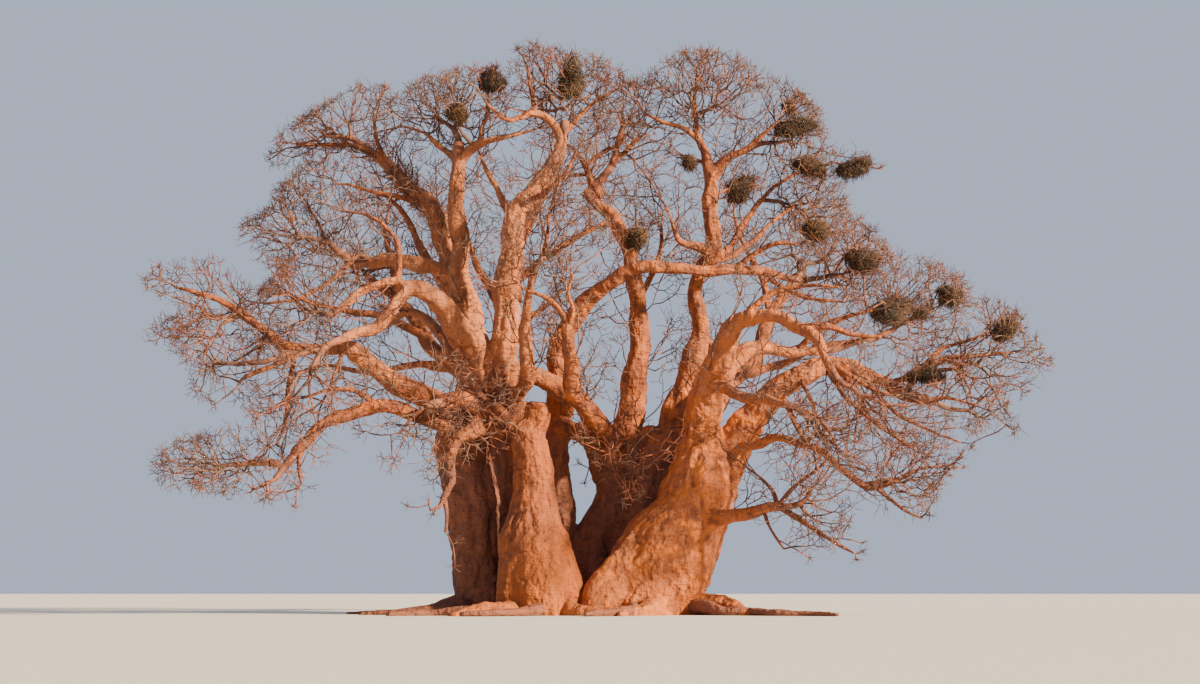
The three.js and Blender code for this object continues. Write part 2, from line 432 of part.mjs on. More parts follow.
const limbStretches = [...Object.values(stems).map((stem) => stem.route), ...Object.values(boughs)]
  .flatMap((route) => stretchesOf(route.map(limbPlace)));

function massSolid(name, number) {
  const mass = masses[name];
  const random = seededNumbers(SEED_STEP * (number + 1));
  const bounds = boundsOf(name);
  const { along, places } = massStem(mass);
  const strangers = Object.values(masses).filter((other) => other !== mass)
    .flatMap((other) => [...stretchesOf(massStem(other).places), ...nestStretches(other)]);
  const inTheWay = [...limbStretches, ...strangers];
  const fits = (from, to) => {
    const twig = { from: from.at, to: to.at };
    return insideSpace(from.at, bounds, from.radius) && insideSpace(to.at, bounds, to.radius)
      && inTheWay.every((limb) => distanceBetween(twig, limb) > limb.radius + from.radius + TWIG_CLEAR);
  };
  const ends = twigEnds(mass, random).filter((end) => insideSpace(end, bounds, TWIG_LEAST));
  // Each end belongs to the nearest place of the stem, apart from the stem's root.
  const owner = (end) => places.slice(1).reduce((best, place) => (
    end.distanceTo(place.at) < end.distanceTo(best.at) ? place : best));
  const twigs = [];
  for (const place of places.slice(1)) {
    const own = ends.filter((end) => owner(end) === place);
    if (own.length > 0) growTwigs([place], own, random, fits, twigs);
  }
  return largestPiece(wasm.Manifold.union([
    limbSolid(places, { sides: THIN_BOUGH_SIDES, startAlong: along }),
    ...twigs.map((branch) => limbSolid(branch, { sides: TWIG_SIDES })),
    ...(mass.nests ?? []).map(nestSolid),
  ]));
}

// The tree.
const tree = new THREE.Group();
tree.name = 'baobab';
const cutters = [];

function clearOfEarlier(solid) {
  const near = cutters.filter((cutter) => !solid.intersect(cutter).isEmpty());
  return near.reduce((left, cutter) => left.subtract(cutter), solid);
}

for (const [name, stem] of Object.entries(stems)) {
  const solid = largestPiece(clearOfEarlier(stemSolid(stem)).subtract(underground));
  cutters.push(stemSolid(stem, GAP));
  tree.add(meshOf(`stem_${name}`, solid, name === 'front_left' ? colours.palest : colours.bark));
}

for (const [name, route] of Object.entries(boughs)) {
  const solid = largestPiece(clearOfEarlier(boughSolid(route)));
  cutters.push(boughSolid(route, GAP));
  tree.add(meshOf(`bough_${name}`, solid, colours.bark));
}

Object.keys(masses).forEach((name, number) => {
  tree.add(meshOf(`twigs_${name}`, massSolid(name, number), colours.twig));
});

export default tree;
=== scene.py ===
# %% [markdown]
# # A leafless baobab
# The tree is a ring of stems that have grown together at the foot. Long boughs arch out of them, and the
# crown is nothing but bare twigs, with the stick nests of weaver birds in it. This notebook dresses the
# solids of the tree: bark with its folds on every stem and bough, then branches and twigs grown from the
# limbs by one rule, then the nests, the light and the camera.

# %% Load the frame
import math
import bmesh
import bpy
import numpy as np
from mathutils import Matrix, Vector, noise
from mathutils.kdtree import KDTree


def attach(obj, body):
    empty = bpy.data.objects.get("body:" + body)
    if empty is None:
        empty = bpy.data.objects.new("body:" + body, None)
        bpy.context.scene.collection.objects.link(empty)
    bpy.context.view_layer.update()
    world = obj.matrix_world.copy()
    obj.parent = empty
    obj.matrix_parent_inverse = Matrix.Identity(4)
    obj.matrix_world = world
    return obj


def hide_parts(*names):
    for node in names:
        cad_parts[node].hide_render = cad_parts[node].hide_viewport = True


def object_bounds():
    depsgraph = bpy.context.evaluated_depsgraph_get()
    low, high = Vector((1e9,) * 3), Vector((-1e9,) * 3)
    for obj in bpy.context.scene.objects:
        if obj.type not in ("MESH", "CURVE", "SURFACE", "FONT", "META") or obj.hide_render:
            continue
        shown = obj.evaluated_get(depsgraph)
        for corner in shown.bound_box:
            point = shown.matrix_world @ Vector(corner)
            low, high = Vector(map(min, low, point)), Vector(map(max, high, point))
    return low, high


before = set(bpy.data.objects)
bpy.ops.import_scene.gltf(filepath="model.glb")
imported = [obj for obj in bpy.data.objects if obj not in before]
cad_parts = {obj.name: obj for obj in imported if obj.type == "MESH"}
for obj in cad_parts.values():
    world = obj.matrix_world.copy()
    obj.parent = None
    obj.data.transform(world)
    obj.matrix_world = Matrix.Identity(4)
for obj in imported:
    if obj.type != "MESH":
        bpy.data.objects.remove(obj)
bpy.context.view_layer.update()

# %% [markdown]
# Every place in the tables below is given as across, up and back. Across and up are read on the upright
# plane through the trunk, as the eye sees them from the front, and back is the real depth. So a place
# slides along the line of sight when its depth changes, and the view from the front stays the same.

# %% Places
EYE_BACK = 75.0
EYE_HEIGHT = 0.85


def spread_at(back):
    """How much wider the line of sight has spread at this depth than at the trunk."""
    return (EYE_BACK + back) / EYE_BACK


def seen(place):
    """The place in space of across, up and back."""
    across, up, back = place[:3]
    spread = spread_at(back)
    return Vector((across * spread, back, EYE_HEIGHT + (up - EYE_HEIGHT) * spread))


# %% [markdown]
# The stems, boughs and twig masses are the same ones that the solids have: a route is a few places with a
# radius, and a mass has the bough that bears it, its middle, its half sizes across, up and back, the number
# of its solid's twigs and the tips that it has to reach. Some have a stem that runs on from the bough.

# %% Stems, boughs and masses
STEMS = {
    "middle": {"route": [[0, -0.8, 0, 1.1], [0, 0, 0, 0.98], [0.07, 2.23, 0.3, 0.68],
                         [0.65, 4.03, 0.5, 0.64], [1.1, 5.65, 0.7, 0.8], [1.45, 6.5, 0.8, 0.72]],
               "roots": [[[0.3, 2.3, -0.1, 0.36], [0.25, 1.2, -1.0, 0.34], [0.15, 0.3, -2.0, 0.28],
                          [0.1, -0.06, -3.0, 0.16]]]},
    "right": {"route": [[1.5, -0.8, -1.6, 2.25], [1.75, 0, -1.6, 2.0], [2.7, 2.23, -1.5, 1.86],
                        [3.55, 4.03, -1.4, 1.52], [4.1, 5.3, -1.4, 1.24], [4.0, 6.6, -1.6, 0.66]],
              "roots": [[[1.6, 2.1, -2.2, 0.75], [0.9, 1.1, -2.9, 0.6], [0.35, 0.35, -3.4, 0.4],
                         [0.0, -0.06, -4.2, 0.2]],
                        [[3.6, 0.35, -2.0, 0.6], [4.9, 0.1, -2.9, 0.38], [5.6, 0.0, -3.9, 0.26],
                         [6.9, -0.06, -4.2, 0.13]],
                        [[2.3, 0.35, -2.6, 0.6], [2.1, 0.1, -3.9, 0.36], [1.3, 0.0, -4.7, 0.24],
                         [1.1, -0.06, -5.7, 0.13]]]},
    "front_left": {"route": [[-1.8, -0.8, -2.6, 1.75], [-1.82, 0, -2.6, 1.5], [-1.94, 1.87, -2.5, 1.19],
                             [-2.05, 4.03, -2.4, 1.0], [-2.14, 5.47, -2.3, 0.84], [-2.03, 6.5, -2.2, 0.7],
                             [-1.82, 7.55, -2.1, 0.52]],
                   "roots": [[[-2.5, 0.35, -3.2, 0.6], [-3.2, 0.1, -4.3, 0.36], [-4.3, 0.0, -4.8, 0.24],
                              [-4.9, -0.06, -5.8, 0.13]],
                             [[-1.2, 0.3, -3.2, 0.5], [-0.6, 0.08, -4.2, 0.3], [0.2, 0.0, -4.7, 0.22],
                              [0.3, -0.06, -5.6, 0.12]]]},
    "left": {"route": [[-3.65, -0.8, -0.4, 1.25], [-3.7, 0, -0.4, 1.08], [-3.96, 1.87, -0.4, 0.88],
                       [-4.14, 4.03, -0.3, 0.92], [-4.43, 5.83, -0.2, 1.05], [-4.32, 7.27, 0, 0.9],
                       [-4.03, 8.35, 0.2, 0.62]],
             "roots": [[[-4.3, 0.35, -0.8, 0.5], [-5.3, 0.1, -1.4, 0.34], [-5.9, 0.0, -2.3, 0.24],
                        [-7.0, -0.06, -2.7, 0.13]],
                       [[-4.2, 0.3, 0.1, 0.45], [-5.4, 0.08, 0.5, 0.28], [-6.4, 0.0, 1.3, 0.18],
                        [-7.2, -0.06, 1.4, 0.1]]]},
    "inner_right": {"route": [[0.95, -0.8, 0.5, 1.1], [0.95, 0, 0.5, 0.98], [1.15, 2.05, 0.6, 0.8],
                              [1.98, 4.03, 0.5, 0.8], [2.5, 5.65, 0.4, 0.82], [3.0, 6.9, 0.5, 0.58],
                              [3.53, 8.53, 0.6, 0.45], [3.96, 9.8, 0.6, 0.34]]},
    "inner_left": {"route": [[-0.9, -0.8, 0.3, 0.98], [-0.9, 0, 0.3, 0.88], [-0.97, 2.6, 0.5, 0.66],
                             [-1.08, 4.75, 0.6, 0.5], [-1.08, 6.9, 0.7, 0.42]]},
    "back": {"route": [[-2.3, -0.8, 2.3, 2.0], [-2.35, 0, 2.3, 1.7], [-2.6, 2.2, 2.4, 1.25],
                       [-2.7, 4.2, 2.7, 1.0], [-2.75, 6.0, 3.0, 0.82], [-2.8, 7.3, 3.3, 0.62]],
             "roots": [[[-1.3, 0.35, 3.0, 0.6], [-0.2, 0.1, 3.7, 0.36], [0.4, 0.0, 4.7, 0.24],
                        [1.6, -0.06, 5.1, 0.13]],
                       [[-3.4, 0.35, 2.8, 0.55], [-4.4, 0.1, 3.7, 0.34], [-5.5, 0.0, 3.9, 0.22],
                        [-6.1, -0.06, 4.8, 0.12]]]},
}

BOUGHS = {
    "arch_left": [[-3.85, 7.6, -0.3, 0.6], [-4.03, 9.25, -0.8, 0.53], [-4.57, 10.22, -1.2, 0.5],
                  [-5.33, 11.12, -1.7, 0.45], [-6.12, 11.56, -2.2, 0.36], [-6.84, 11.56, -2.6, 0.27]],
    "arch_left_drop": [[-6.6, 11.55, -2.5, 0.25], [-7.31, 10.8, -3.2, 0.24], [-7.78, 10.19, -3.7, 0.21],
                       [-8.57, 9.97, -4.3, 0.18], [-9.18, 9.72, -4.8, 0.14]],
    "upper_left": [[-6.5, 11.6, -2.4, 0.2], [-7.0, 11.9, -2.5, 0.18], [-7.74, 11.74, -2.6, 0.165],
                   [-8.39, 11.45, -2.8, 0.15], [-9.0, 10.94, -3.0, 0.13]],
    "reach_left": [[-4.5, 6.5, -0.6, 0.55], [-5.94, 7.7, -1.4, 0.42], [-7.02, 8.35, -1.9, 0.38],
                   [-8.03, 9.07, -2.3, 0.33], [-8.82, 9.54, -2.6, 0.26], [-9.79, 9.47, -3.0, 0.2],
                   [-10.55, 9.32, -3.2, 0.15]],
    "lowest_left": [[-4.6, 6.35, -1.0, 0.38], [-6.3, 7.2, -2.4, 0.27], [-7.56, 7.34, -3.2, 0.25],
                    [-8.64, 7.16, -3.8, 0.24], [-9.54, 6.73, -4.2, 0.22], [-10.19, 6.08, -4.5, 0.2],
                    [-10.62, 5.58, -4.7, 0.16]],
    "tall_left": [[-4.1, 8.0, 0.3, 0.6], [-4.32, 10.33, 0.9, 0.48], [-4.61, 11.77, 1.1, 0.4],
                  [-4.75, 13.39, 1.1, 0.33], [-4.82, 14.83, 1.0, 0.29], [-4.79, 16.27, 0.9, 0.25]],
    "leaning_left": [[-4.65, 11.2, 1.1, 0.36], [-4.97, 11.95, 1.5, 0.36], [-5.36, 13.57, 2.2, 0.36],
                     [-5.83, 14.58, 2.7, 0.35], [-6.55, 15.37, 3.2, 0.32], [-7.27, 16.09, 3.6, 0.25],
                     [-7.92, 16.63, 3.9, 0.16]],
    "broken_left": [[-5.0, 12.15, 1.4, 0.28], [-5.6, 12.4, 1.2, 0.28], [-6.3, 12.6, 1.3, 0.26],
                    [-7.2, 12.74, 1.6, 0.25], [-7.99, 12.6, 1.9, 0.2]],
    "tall_centre": [[-3.6, 6.4, -0.5, 0.62], [-3.06, 7.63, -0.8, 0.58], [-3.13, 9.43, -0.9, 0.5],
                    [-2.95, 11.23, -0.9, 0.47], [-2.81, 12.85, -0.8, 0.44], [-2.63, 14.11, -0.7, 0.4],
                    [-2.16, 15.01, -0.6, 0.36], [-1.62, 15.84, -0.5, 0.31], [-1.19, 16.63, -0.4, 0.25],
                    [-1.01, 17.35, -0.4, 0.17]],
    "slim_centre": [[-2.9, 7.5, -1.1, 0.3], [-2.3, 8.4, -2.0, 0.28], [-2.3, 9.43, -2.4, 0.25],
                    [-2.34, 10.51, -2.8, 0.2], [-2.16, 11.77, -3.3, 0.13]],
    "diagonal": [[-1.08, 6.7, 0.7, 0.41], [-1.22, 8.53, 0.6, 0.37], [-1.01, 9.86, 0.4, 0.33],
                 [-0.36, 10.87, 0.1, 0.31], [0.58, 11.66, -0.3, 0.28], [1.3, 12.25, -0.7, 0.25]],
    "crossing": [[1.0, 12.03, -0.5, 0.23], [1.6, 12.42, -0.85, 0.23], [2.7, 12.42, -0.9, 0.22],
                 [3.96, 12.31, -0.8, 0.2], [5.22, 12.38, -0.2, 0.18], [6.3, 12.31, 0.6, 0.16],
                 [7.38, 12.02, 1.2, 0.12]],
    "middle": [[1.33, 6.3, 0.8, 0.5], [1.51, 7.63, 1.0, 0.44], [1.69, 9.07, 1.1, 0.38],
               [1.69, 10.51, 1.2, 0.34], [1.53, 12.2, 1.2, 0.3], [1.33, 13.39, 1.2, 0.29],
               [0.83, 14.22, 1.3, 0.25], [0.25, 14.76, 1.4, 0.18]],
    "rising_front": [[1.05, 5.95, 0.5, 0.4], [0.75, 6.25, -0.4, 0.42], [0.19, 6.78, -1.3, 0.4],
                     [-0.26, 7.44, -2.2, 0.36], [-0.6, 8.3, -3.1, 0.31], [-0.78, 9.4, -3.9, 0.26],
                     [-0.8, 10.4, -4.5, 0.18]],
    "hanging_broken": [[-3.9, 6.95, -0.5, 0.34], [-3.85, 7.0, -1.7, 0.31], [-4.3, 6.5, -2.6, 0.28],
                       [-4.9, 6.08, -3.3, 0.24], [-5.02, 5.3, -3.7, 0.2], [-4.98, 4.7, -3.8, 0.17],
                       [-5.3, 3.85, -4.0, 0.1]],
    "stub_front": [[-3.9, 7.6, -0.6, 0.38], [-4.1, 7.5, -1.7, 0.34], [-4.7, 7.62, -2.5, 0.31],
                   [-5.3, 7.48, -3.1, 0.27]],
    "arch_right": [[4.0, 6.4, -1.6, 0.6], [4.18, 7.81, -2.2, 0.56], [4.39, 8.71, -2.6, 0.52],
                   [4.75, 9.61, -3.1, 0.45], [5.33, 10.33, -3.6, 0.34], [6.01, 10.76, -4.1, 0.25]],
    "arch_right_drop": [[5.75, 10.62, -3.9, 0.24], [6.77, 10.73, -4.6, 0.24], [7.45, 10.3, -5.0, 0.22],
                        [8.06, 9.86, -5.4, 0.2], [8.42, 9.25, -5.7, 0.17], [8.75, 8.64, -6.0, 0.13]],
    "behind_right": [[4.1, 6.9, -1.7, 0.5], [4.6, 7.9, -0.5, 0.45], [4.97, 8.82, 0.4, 0.37],
                     [5.69, 9.36, 1.2, 0.32], [6.48, 9.54, 2.0, 0.25], [7.38, 9.32, 2.8, 0.2],
                     [8.6, 9.45, 3.5, 0.14]],
    "reach_right": [[4.2, 4.7, -1.3, 0.85], [5.33, 6.19, -1.4, 0.64], [6.3, 7.52, -1.5, 0.5],
                    [7.56, 8.42, -1.7, 0.4], [8.93, 8.82, -1.8, 0.33], [10.0, 8.53, -1.9, 0.26],
                    [10.9, 8.14, -2.0, 0.17]],
    "shelf_right": [[4.35, 8.2, -2.7, 0.24], [5.4, 7.78, -4.4, 0.2], [6.3, 7.63, -5.6, 0.18],
                    [7.09, 7.45, -6.6, 0.13]],
    "winding_right": [[5.3, 6.0, -1.6, 0.22], [5.83, 5.98, -2.4, 0.17], [6.7, 6.26, -3.0, 0.15],
                      [7.56, 6.08, -3.5, 0.14], [8.35, 5.72, -3.9, 0.13], [9.07, 5.11, -4.3, 0.11]],
    "lowest_right": [[4.0, 3.4, -2.0, 0.34], [5.4, 3.49, -3.2, 0.25], [6.3, 3.71, -3.9, 0.19],
                     [6.9, 3.8, -4.3, 0.14]],
    "tall_right": [[3.9, 9.5, 0.6, 0.33], [3.96, 10.33, 0.6, 0.3], [3.71, 11.34, 0.6, 0.28],
                   [3.96, 12.24, 0.6, 0.28], [4.39, 13.03, 0.6, 0.31], [4.32, 14.29, 0.6, 0.29],
                   [4.39, 15.55, 0.7, 0.26], [4.25, 16.27, 0.8, 0.2], [3.96, 17.17, 0.9, 0.13]],
    "top_right": [[4.37, 15.5, 0.7, 0.2], [4.75, 16.2, 1.0, 0.17], [5.22, 16.56, 1.3, 0.15],
                  [5.94, 16.88, 1.7, 0.11]],
    "slant_right": [[4.35, 12.8, 0.6, 0.2], [4.82, 12.95, 1.3, 0.16], [5.15, 13.36, 2.0, 0.14],
                    [5.62, 14.11, 2.8, 0.12], [6.05, 14.72, 3.4, 0.1]],
    "back_left": [[-2.8, 5.9, 3.0, 0.46], [-3.6, 7.9, 4.6, 0.38], [-5.4, 9.2, 5.6, 0.3],
                  [-6.6, 10.9, 7.2, 0.22], [-7.8, 11.9, 8.3, 0.14]],
    "back_centre": [[-2.8, 6.9, 3.2, 0.42], [-3.2, 9.4, 4.4, 0.36], [-2.8, 11.6, 5.6, 0.3],
                    [-2.5, 13.6, 6.1, 0.22], [-1.7, 15.2, 7.2, 0.15]],
    "back_right": [[3.1, 5.6, 0.4, 0.44], [4.2, 7.7, 2.6, 0.38], [5.7, 8.8, 4.6, 0.3],
                   [6.6, 10.8, 6.0, 0.22], [7.5, 12.1, 7.6, 0.14]],
}

MASSES = {
    "far_left": {"on": "reach_left", "middle": [-13.25, 10.15, -3.4], "half": [3.1, 2.7, 2.8], "twigs": 13,
                 "stem": [[-11.34, 9.9, -3.3], [-12.42, 10.76, -3.4]],
                 "tips": [[-15.95, 12.0, -3.6], [-16.1, 9.8, -3.4], [-14.5, 7.56, -3.2]]},
    "drop_left": {"on": "arch_left_drop", "middle": [-10.3, 8.1, -5.4], "half": [1.8, 1.9, 1.7], "twigs": 8,
                  "tips": [[-11.4, 6.2, -5.6]]},
    "low_left": {"on": "lowest_left", "middle": [-13.0, 5.2, -5.0], "half": [2.9, 1.5, 2.2], "twigs": 10,
                 "stem": [[-11.45, 5.4, -4.9]], "tips": [[-15.6, 5.4, -5.0], [-15.3, 4.45, -5.2]]},
    "inner_left": {"on": "upper_left", "middle": [-10.4, 11.1, -3.2], "half": [1.7, 1.6, 1.9], "twigs": 8},
    "shoulder_left": {"on": "broken_left", "middle": [-10.4, 13.8, 2.4], "half": [2.9, 2.4, 2.7],
                      "twigs": 12, "stem": [[-8.9, 12.9, 2.1]],
                      "tips": [[-12.9, 13.4, 2.4], [-11.7, 15.55, 2.2]]},
    "crest_left": {"on": "leaning_left", "middle": [-9.5, 17.4, 4.3], "half": [2.6, 1.8, 2.4], "twigs": 11,
                   "tips": [[-11.8, 16.6, 4.3], [-10.1, 18.4, 4.3], [-8.0, 19.2, 4.1]]},
    "top_left": {"on": "tall_left", "middle": [-5.3, 18.0, 0.9], "half": [2.4, 1.7, 2.3], "twigs": 11,
                 "tips": [[-5.9, 19.7, 0.9], [-4.0, 19.9, 0.9]]},
    "top_centre": {"on": "tall_centre", "middle": [-1.1, 18.7, -0.4], "half": [2.3, 1.8, 2.4], "twigs": 11,
                   "tips": [[-2.4, 20.7, -0.4], [-1.1, 20.5, -0.3], [0.6, 20.2, -0.3]]},
    "inner_centre": {"on": "slim_centre", "middle": [-1.4, 13.3, -3.8], "half": [1.3, 1.9, 1.6],
                     "twigs": 7},
    "top_middle": {"on": "middle", "middle": [1.4, 17.3, 1.6], "half": [1.8, 2.2, 2.1], "twigs": 9,
                   "stem": [[0.18, 15.48, 1.5], [0.79, 16.16, 1.6]], "tips": [[1.8, 19.5, 1.6]]},
    "top_right": {"on": "tall_right", "middle": [4.2, 18.7, 1.0], "half": [2.5, 1.7, 2.3], "twigs": 11,
                  "tips": [[2.4, 20.0, 1.0], [4.0, 20.5, 1.0], [5.9, 20.0, 1.0]]},
    "shoulder_right": {"on": "top_right", "middle": [7.1, 17.0, 2.2], "half": [2.1, 2.2, 2.3], "twigs": 11,
                       "tips": [[7.3, 19.1, 2.2], [8.5, 18.0, 2.2], [10.5, 16.2, 2.5]]},
    "slant_right": {"on": "slant_right", "middle": [7.6, 14.4, 4.0], "half": [2.0, 1.5, 2.3], "twigs": 9,
                    "tips": [[9.4, 14.9, 4.2], [10.0, 14.0, 4.2]]},
    "crossing_right": {"on": "crossing", "middle": [9.1, 12.3, 1.3], "half": [2.2, 1.4, 2.2], "twigs": 9,
                       "tips": [[10.9, 13.2, 1.5]]},
    "behind_right": {"on": "behind_right", "middle": [11.6, 10.9, 4.0], "half": [2.7, 1.7, 2.4],
                     "twigs": 11, "stem": [[10.26, 9.86, 3.8]],
                     "tips": [[12.8, 12.6, 4.2], [13.9, 11.6, 4.0]]},
    "far_right": {"on": "reach_right", "middle": [13.8, 8.8, -2.2], "half": [2.8, 2.4, 2.6], "twigs": 13,
                  "stem": [[11.95, 8.82, -2.1], [12.78, 9.11, -2.1]],
                  "tips": [[15.7, 10.7, -2.4], [16.6, 9.1, -2.3], [15.3, 6.6, -2.2]]},
    "arch_right": {"on": "arch_right_drop", "middle": [10.3, 7.4, -6.3], "half": [2.1, 1.8, 2.0],
                   "twigs": 9},
    "shelf_right": {"on": "shelf_right", "middle": [8.0, 6.6, -8.0], "half": [1.6, 1.4, 1.7], "twigs": 8},
    "low_right": {"on": "winding_right", "middle": [11.2, 4.7, -4.7], "half": [2.0, 1.5, 2.0], "twigs": 9,
                  "stem": [[9.8, 4.6, -4.5]], "tips": [[13.3, 5.5, -4.8], [11.9, 3.4, -4.6]]},
    "lowest_right": {"on": "lowest_right", "middle": [7.9, 3.8, -4.9], "half": [1.3, 1.8, 1.6], "twigs": 8,
                     "tips": [[8.6, 2.4, -5.0], [8.7, 5.5, -5.0]]},
    "thicket_left": {"on": "stub_front", "middle": [-5.1, 7.1, -4.3], "half": [2.4, 1.9, 1.4], "twigs": 9},
    "back_left": {"on": "back_left", "middle": [-8.0, 12.4, 8.7], "half": [4.0, 3.1, 3.4], "twigs": 13},
    "back_centre": {"on": "back_centre", "middle": [-0.4, 15.8, 8.0], "half": [3.9, 3.0, 3.2], "twigs": 13},
    "back_right": {"on": "back_right", "middle": [8.0, 12.8, 8.6], "half": [3.8, 3.1, 3.4], "twigs": 13},
}
print(len(STEMS), "stems,", len(BOUGHS), "boughs,", len(MASSES), "masses of twigs")

# %% [markdown]
# Between the big boughs and the twigs a real crown has branches as thick as an arm or a leg. Each of them
# is a limb in its own right, with a route read from the picture. The last number is how many sprays of
# twigs its end carries. It is 0 for broken ends and the knob, for the bridge and the log, which join two
# limbs, and for the ridge and the seam, which are folds of a stem's bark.

